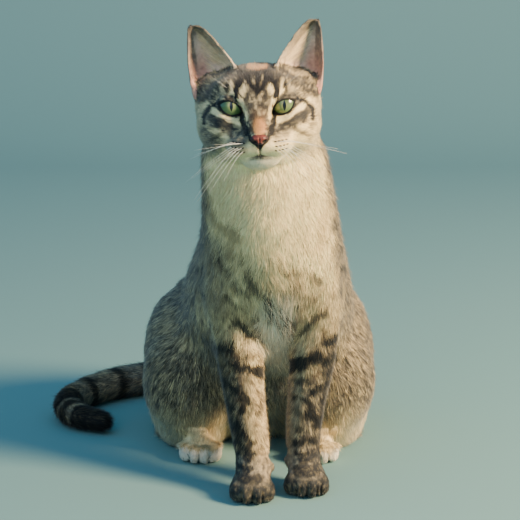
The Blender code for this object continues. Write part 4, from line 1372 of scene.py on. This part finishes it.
def eye_material():
    """Iris fibres and an upright slit pupil; "gaze" holds each point's place in radii of the iris."""
    material, tree, shader = nodes_of("iris")

    def math_node(operation, *values):
        return add(tree, "ShaderNodeMath", dict(enumerate(values)), operation=operation).outputs["Value"]

    gaze = add(tree, "ShaderNodeAttribute", attribute_name="gaze").outputs["Vector"]
    parts = add(tree, "ShaderNodeSeparateXYZ", {"Vector": gaze}).outputs
    across, up = parts["X"], parts["Y"]
    flat = add(tree, "ShaderNodeCombineXYZ", {"X": across, "Y": up}).outputs["Vector"]
    reach = add(tree, "ShaderNodeVectorMath", {0: flat}, operation="LENGTH").outputs["Value"]
    around = math_node("MULTIPLY", math_node("ARCTAN2", across, up), 9.0)
    polar = add(tree, "ShaderNodeCombineXYZ", {"X": around, "Y": reach}).outputs["Vector"]
    fibre = add(tree, "ShaderNodeTexNoise", {"Scale": 2.2, "Detail": 5.0, "Vector": polar}).outputs["Fac"]
    iris = add(tree, "ShaderNodeValToRGB", {"Fac": math_node("MULTIPLY_ADD", fibre, 0.16, reach)})
    stops = iris.color_ramp.elements
    for index, (place, tone) in enumerate(IRIS_STOPS):
        stop = stops[index] if index < 2 else stops.new(place)
        stop.position, stop.color = place, (*tone, 1)
    wide = math_node("ABSOLUTE", math_node("MULTIPLY", across, 1.0 / PUPIL_HALF_WIDTH))
    tall = math_node("POWER", math_node("MULTIPLY", up, 1.0 / PUPIL_HALF_HEIGHT), 2.0)
    edge = add(tree, "ShaderNodeMapRange",
               {"From Min": 0.92, "From Max": 1.08, "Value": math_node("ADD", wide, tall)})
    # painted shadow of the upper lid: the iris darkens towards its top
    painted_lid_shadow = add(tree, "ShaderNodeMapRange",
                    {"From Min": 0.05, "From Max": 0.60, "To Min": 1.0, "To Max": 0.35, "Value": up})
    shaded = add(tree, "ShaderNodeVectorMath", {0: iris.outputs["Color"], "Scale": painted_lid_shadow.outputs["Result"]},
                 operation="SCALE")
    pupil = add(tree, "ShaderNodeMix", {"A": PUPIL_BLACK, "Factor": edge.outputs["Result"],
                                        "B": shaded.outputs["Vector"]}, data_type="RGBA")
    rough = add(tree, "ShaderNodeMapRange", {"To Min": 0.18, "To Max": 0.30, "Value": fibre})
    bump = add(tree, "ShaderNodeBump", {"Strength": 0.15, "Distance": 0.0003, "Height": fibre})
    plug(tree, shader, {"Base Color": pupil.outputs["Result"], "Roughness": rough.outputs["Result"],
                        "Coat Weight": 0.5, "Coat Roughness": 0.02, "Specular IOR Level": 0.4,
                        "Normal": bump.outputs["Normal"]})
    return material


IRIS = eye_material()
IRIS_RADIUS = 0.0097
CORNEA_RISE = 0.0009
EYE_CLEARANCE = 0.0002
GAZE = {-1: Vector((0.018, -1.0, 0.125)), 1: Vector((0.00, -1.0, -0.025))}


def make_eye(side):
    """An eyeball with a cornea, its surface marked with the place from the pupil's middle."""
    centre = eye_frame(side)[0]
    gaze = HEAD.to_3x3() @ GAZE[side].normalized()
    turn = gaze.to_track_quat("Z", "Y").to_matrix()
    rings, spokes = 56, 96
    verts = [Vector((0, 0, 1))]
    for ring in range(1, rings + 1):
        polar = math.pi * (ring / rings) ** 1.25
        for spoke in range(spokes):
            a = 2 * math.pi * spoke / spokes
            verts.append(Vector((math.sin(polar) * math.cos(a), math.sin(polar) * math.sin(a), math.cos(polar))))
    verts = np.array(verts)
    flat = np.hypot(verts[:, 0], verts[:, 1]) * EYE_RADIUS
    bulge = CORNEA_RISE * ramp(-flat, -IRIS_RADIUS, -0.2 * IRIS_RADIUS) * (verts[:, 2] > 0)
    world = (verts * (EYE_RADIUS - EYE_CLEARANCE + bulge)[:, None]) @ np.array(turn).T + centre
    faces = [(0, 1 + s, 1 + (s + 1) % spokes) for s in range(spokes)]
    for ring in range(rings - 1):
        low = 1 + ring * spokes
        for s in range(spokes):
            n = (s + 1) % spokes
            faces += [(low + s, low + spokes + s, low + spokes + n), (low + s, low + spokes + n, low + n)]
    mesh = triangle_mesh(f"eye_{side}", world, np.array(faces))
    up = np.array(HEAD.to_3x3() @ Vector((0, 0, 1)))
    forward = np.array(gaze)
    up = unit(up - forward * (up @ forward))
    across = np.cross(up, forward)
    offset = world - centre
    mark = np.stack((offset @ across, offset @ up, np.zeros(len(world))), axis=1) / IRIS_RADIUS
    back = offset @ forward < 0
    mark[back] = unit(mark[back] + 1e-6) * 1.4
    layer = mesh.attributes.new("gaze", "FLOAT_VECTOR", "POINT")
    layer.data.foreach_set("vector", mark.ravel())
    word = "left" if side > 0 else "right"
    placed(f"eyeball_{word}", mesh, IRIS, "eye", f"eye_{word}")


for side in (-1, 1):
    make_eye(side)


# ---------------------------------------------------------------- nose
NOSE_SWELL = 0.0005
NOSE_VOXEL = 0.00035


def make_nose():
    """The nose leather, with its nostrils and the groove between them."""
    mesh = modified(swollen("nose", NOSE_SWELL), "REMESH", mode="VOXEL", voxel_size=NOSE_VOXEL)
    own = Web(mesh)
    co = own.fair(coords(mesh), 8, np.ones(len(mesh.vertices)))
    h = in_head(co)
    h[:, 2] = np.where(h[:, 2] > -22.5, -22.5 + (h[:, 2] + 22.5) * 0.62, h[:, 2])
    x, y, z = h.T
    ax = np.abs(x)
    front = ramp(-y, 44.0, 47.0)
    narrow = ramp(-z, 22.5, 27.0)
    h[:, 0] *= 1 - 0.30 * narrow
    hole = np.exp(-(((ax - 3.6) / 1.5) ** 2 + ((z + 24.2 - 0.25 * (ax - 3.6)) / 0.95) ** 2))
    slit = np.exp(-(((z + 25.0 + 0.12 * (ax - 5.0)) / 0.6) ** 2)) * ramp(ax, 3.8, 4.6) * ramp(-ax, -7.0, -6.0)
    groove = np.exp(-(x / 0.55) ** 2) * ramp(-z, 20.0, 23.0)
    wing = np.exp(-(((ax - 4.6) / 1.6) ** 2 + ((z + 22.6) / 1.5) ** 2))
    h[:, 1] += front * (2.6 * hole + 1.2 * slit + 0.9 * groove - 0.5 * wing)
    set_coords(mesh, from_head(h))
    mesh.shade_smooth()
    # painted shade: the nostril openings painted near black
    dark = np.clip(1.15 * hole + slit, 0, 1)
    rim = np.maximum(ramp(ax + 0.45 * (-z - 19.0), 4.9, 6.5), ramp(-z, 24.6, 25.8))
    rim = np.maximum(rim, 0.35 * ramp(z, -20.2, -19.2))
    colour = np.tile(shade(122, 62, 53), (len(h), 1))
    colour = mix(colour, shade(90, 43, 37), 0.5 + 0.5 * noise(from_head(h), 0.0016, 51))
    colour = mix(colour, shade(44, 32, 30), np.clip(rim, 0, 1) * 0.9)
    colour = mix(colour, shade(14, 11, 11), dark)
    paint(mesh, colour)
    material = painted_material("nose_leather", 0.0015, 0.12, (0.35, 0.55), 0.0004, 0.0002,
                                {"Specular IOR Level": 0.3})
    placed("nose_leather", mesh, material, "nose_leather", "nose")


make_nose()


# ---------------------------------------------------------------- camera, floor and light
SENSOR = 36.0
LENS = 1834.0 * SENSOR / 520.0
CAMERA_PLACE = (0.0, -1.6, 0.5)
CAMERA_TILT = math.radians(90.0 - 12.37)
# Name, place, the point it shines at, size, power and colour
LAMPS = (("key", (1.75, -0.95, 1.20), (0.0, -0.10, 0.18), 0.65, 216.0, (1.0, 0.72, 0.43)),
         ("fill", (-0.7, -2.1, 1.2), (0.0, -0.05, 0.15), 1.6, 13.0, (1.0, 0.88, 0.72)))
SKY = (0.24, 0.62, 1.0, 1.0)
SKY_STRENGTH = 0.95


def make_stage():
    """A camera, a floor that bends up into a wall, a warm key light, a weak fill and a blue sky."""
    camera = bpy.data.cameras.new("camera")
    camera.sensor_width = SENSOR
    camera.lens = LENS
    camera.clip_end = 50.0
    ob = in_scene("camera", camera)
    ob.location = CAMERA_PLACE
    ob.rotation_euler = (CAMERA_TILT, 0.0, 0.0)
    bpy.context.scene.camera = ob

    width, front, wall, height, bend = 6.0, -2.5, 2.2, 3.0, 0.8
    profile = [(front, 0.0), (wall - bend, 0.0)]
    profile += [(wall - bend + bend * math.sin(a), bend - bend * math.cos(a))
                for a in np.linspace(0, math.pi / 2, 14)[1:]]
    profile.append((wall, height))
    verts = [(x, y, z) for y, z in profile for x in (-width / 2, width / 2)]
    faces = [(2 * i, 2 * i + 1, 2 * i + 3, 2 * i + 2) for i in range(len(profile) - 1)]
    mesh = bpy.data.meshes.new("floor")
    mesh.from_pydata(verts, [], faces)
    mesh.shade_smooth()
    floor = in_scene("floor", mesh)
    paper = plain_material("floor_paper", shade(100, 138, 138), 0.8, 0.02, (0.75, 0.85), 0.002, 0.00002)
    mesh.materials.append(paper)

    for name, place, aim, size, power, tone in LAMPS:
        light = bpy.data.lights.new(name, "AREA")
        light.shape = "DISK"
        light.size = size
        light.energy = power
        light.color = tone
        lamp = in_scene(name, light)
        lamp.location = place
        lamp.rotation_euler = (Vector(aim) - Vector(place)).to_track_quat("-Z", "Y").to_euler()

    world = bpy.data.worlds.new("world")
    bpy.context.scene.world = world
    world.use_nodes = True
    sky = world.node_tree.nodes["Background"]
    sky.inputs["Color"].default_value = SKY
    sky.inputs["Strength"].default_value = SKY_STRENGTH


make_stage()
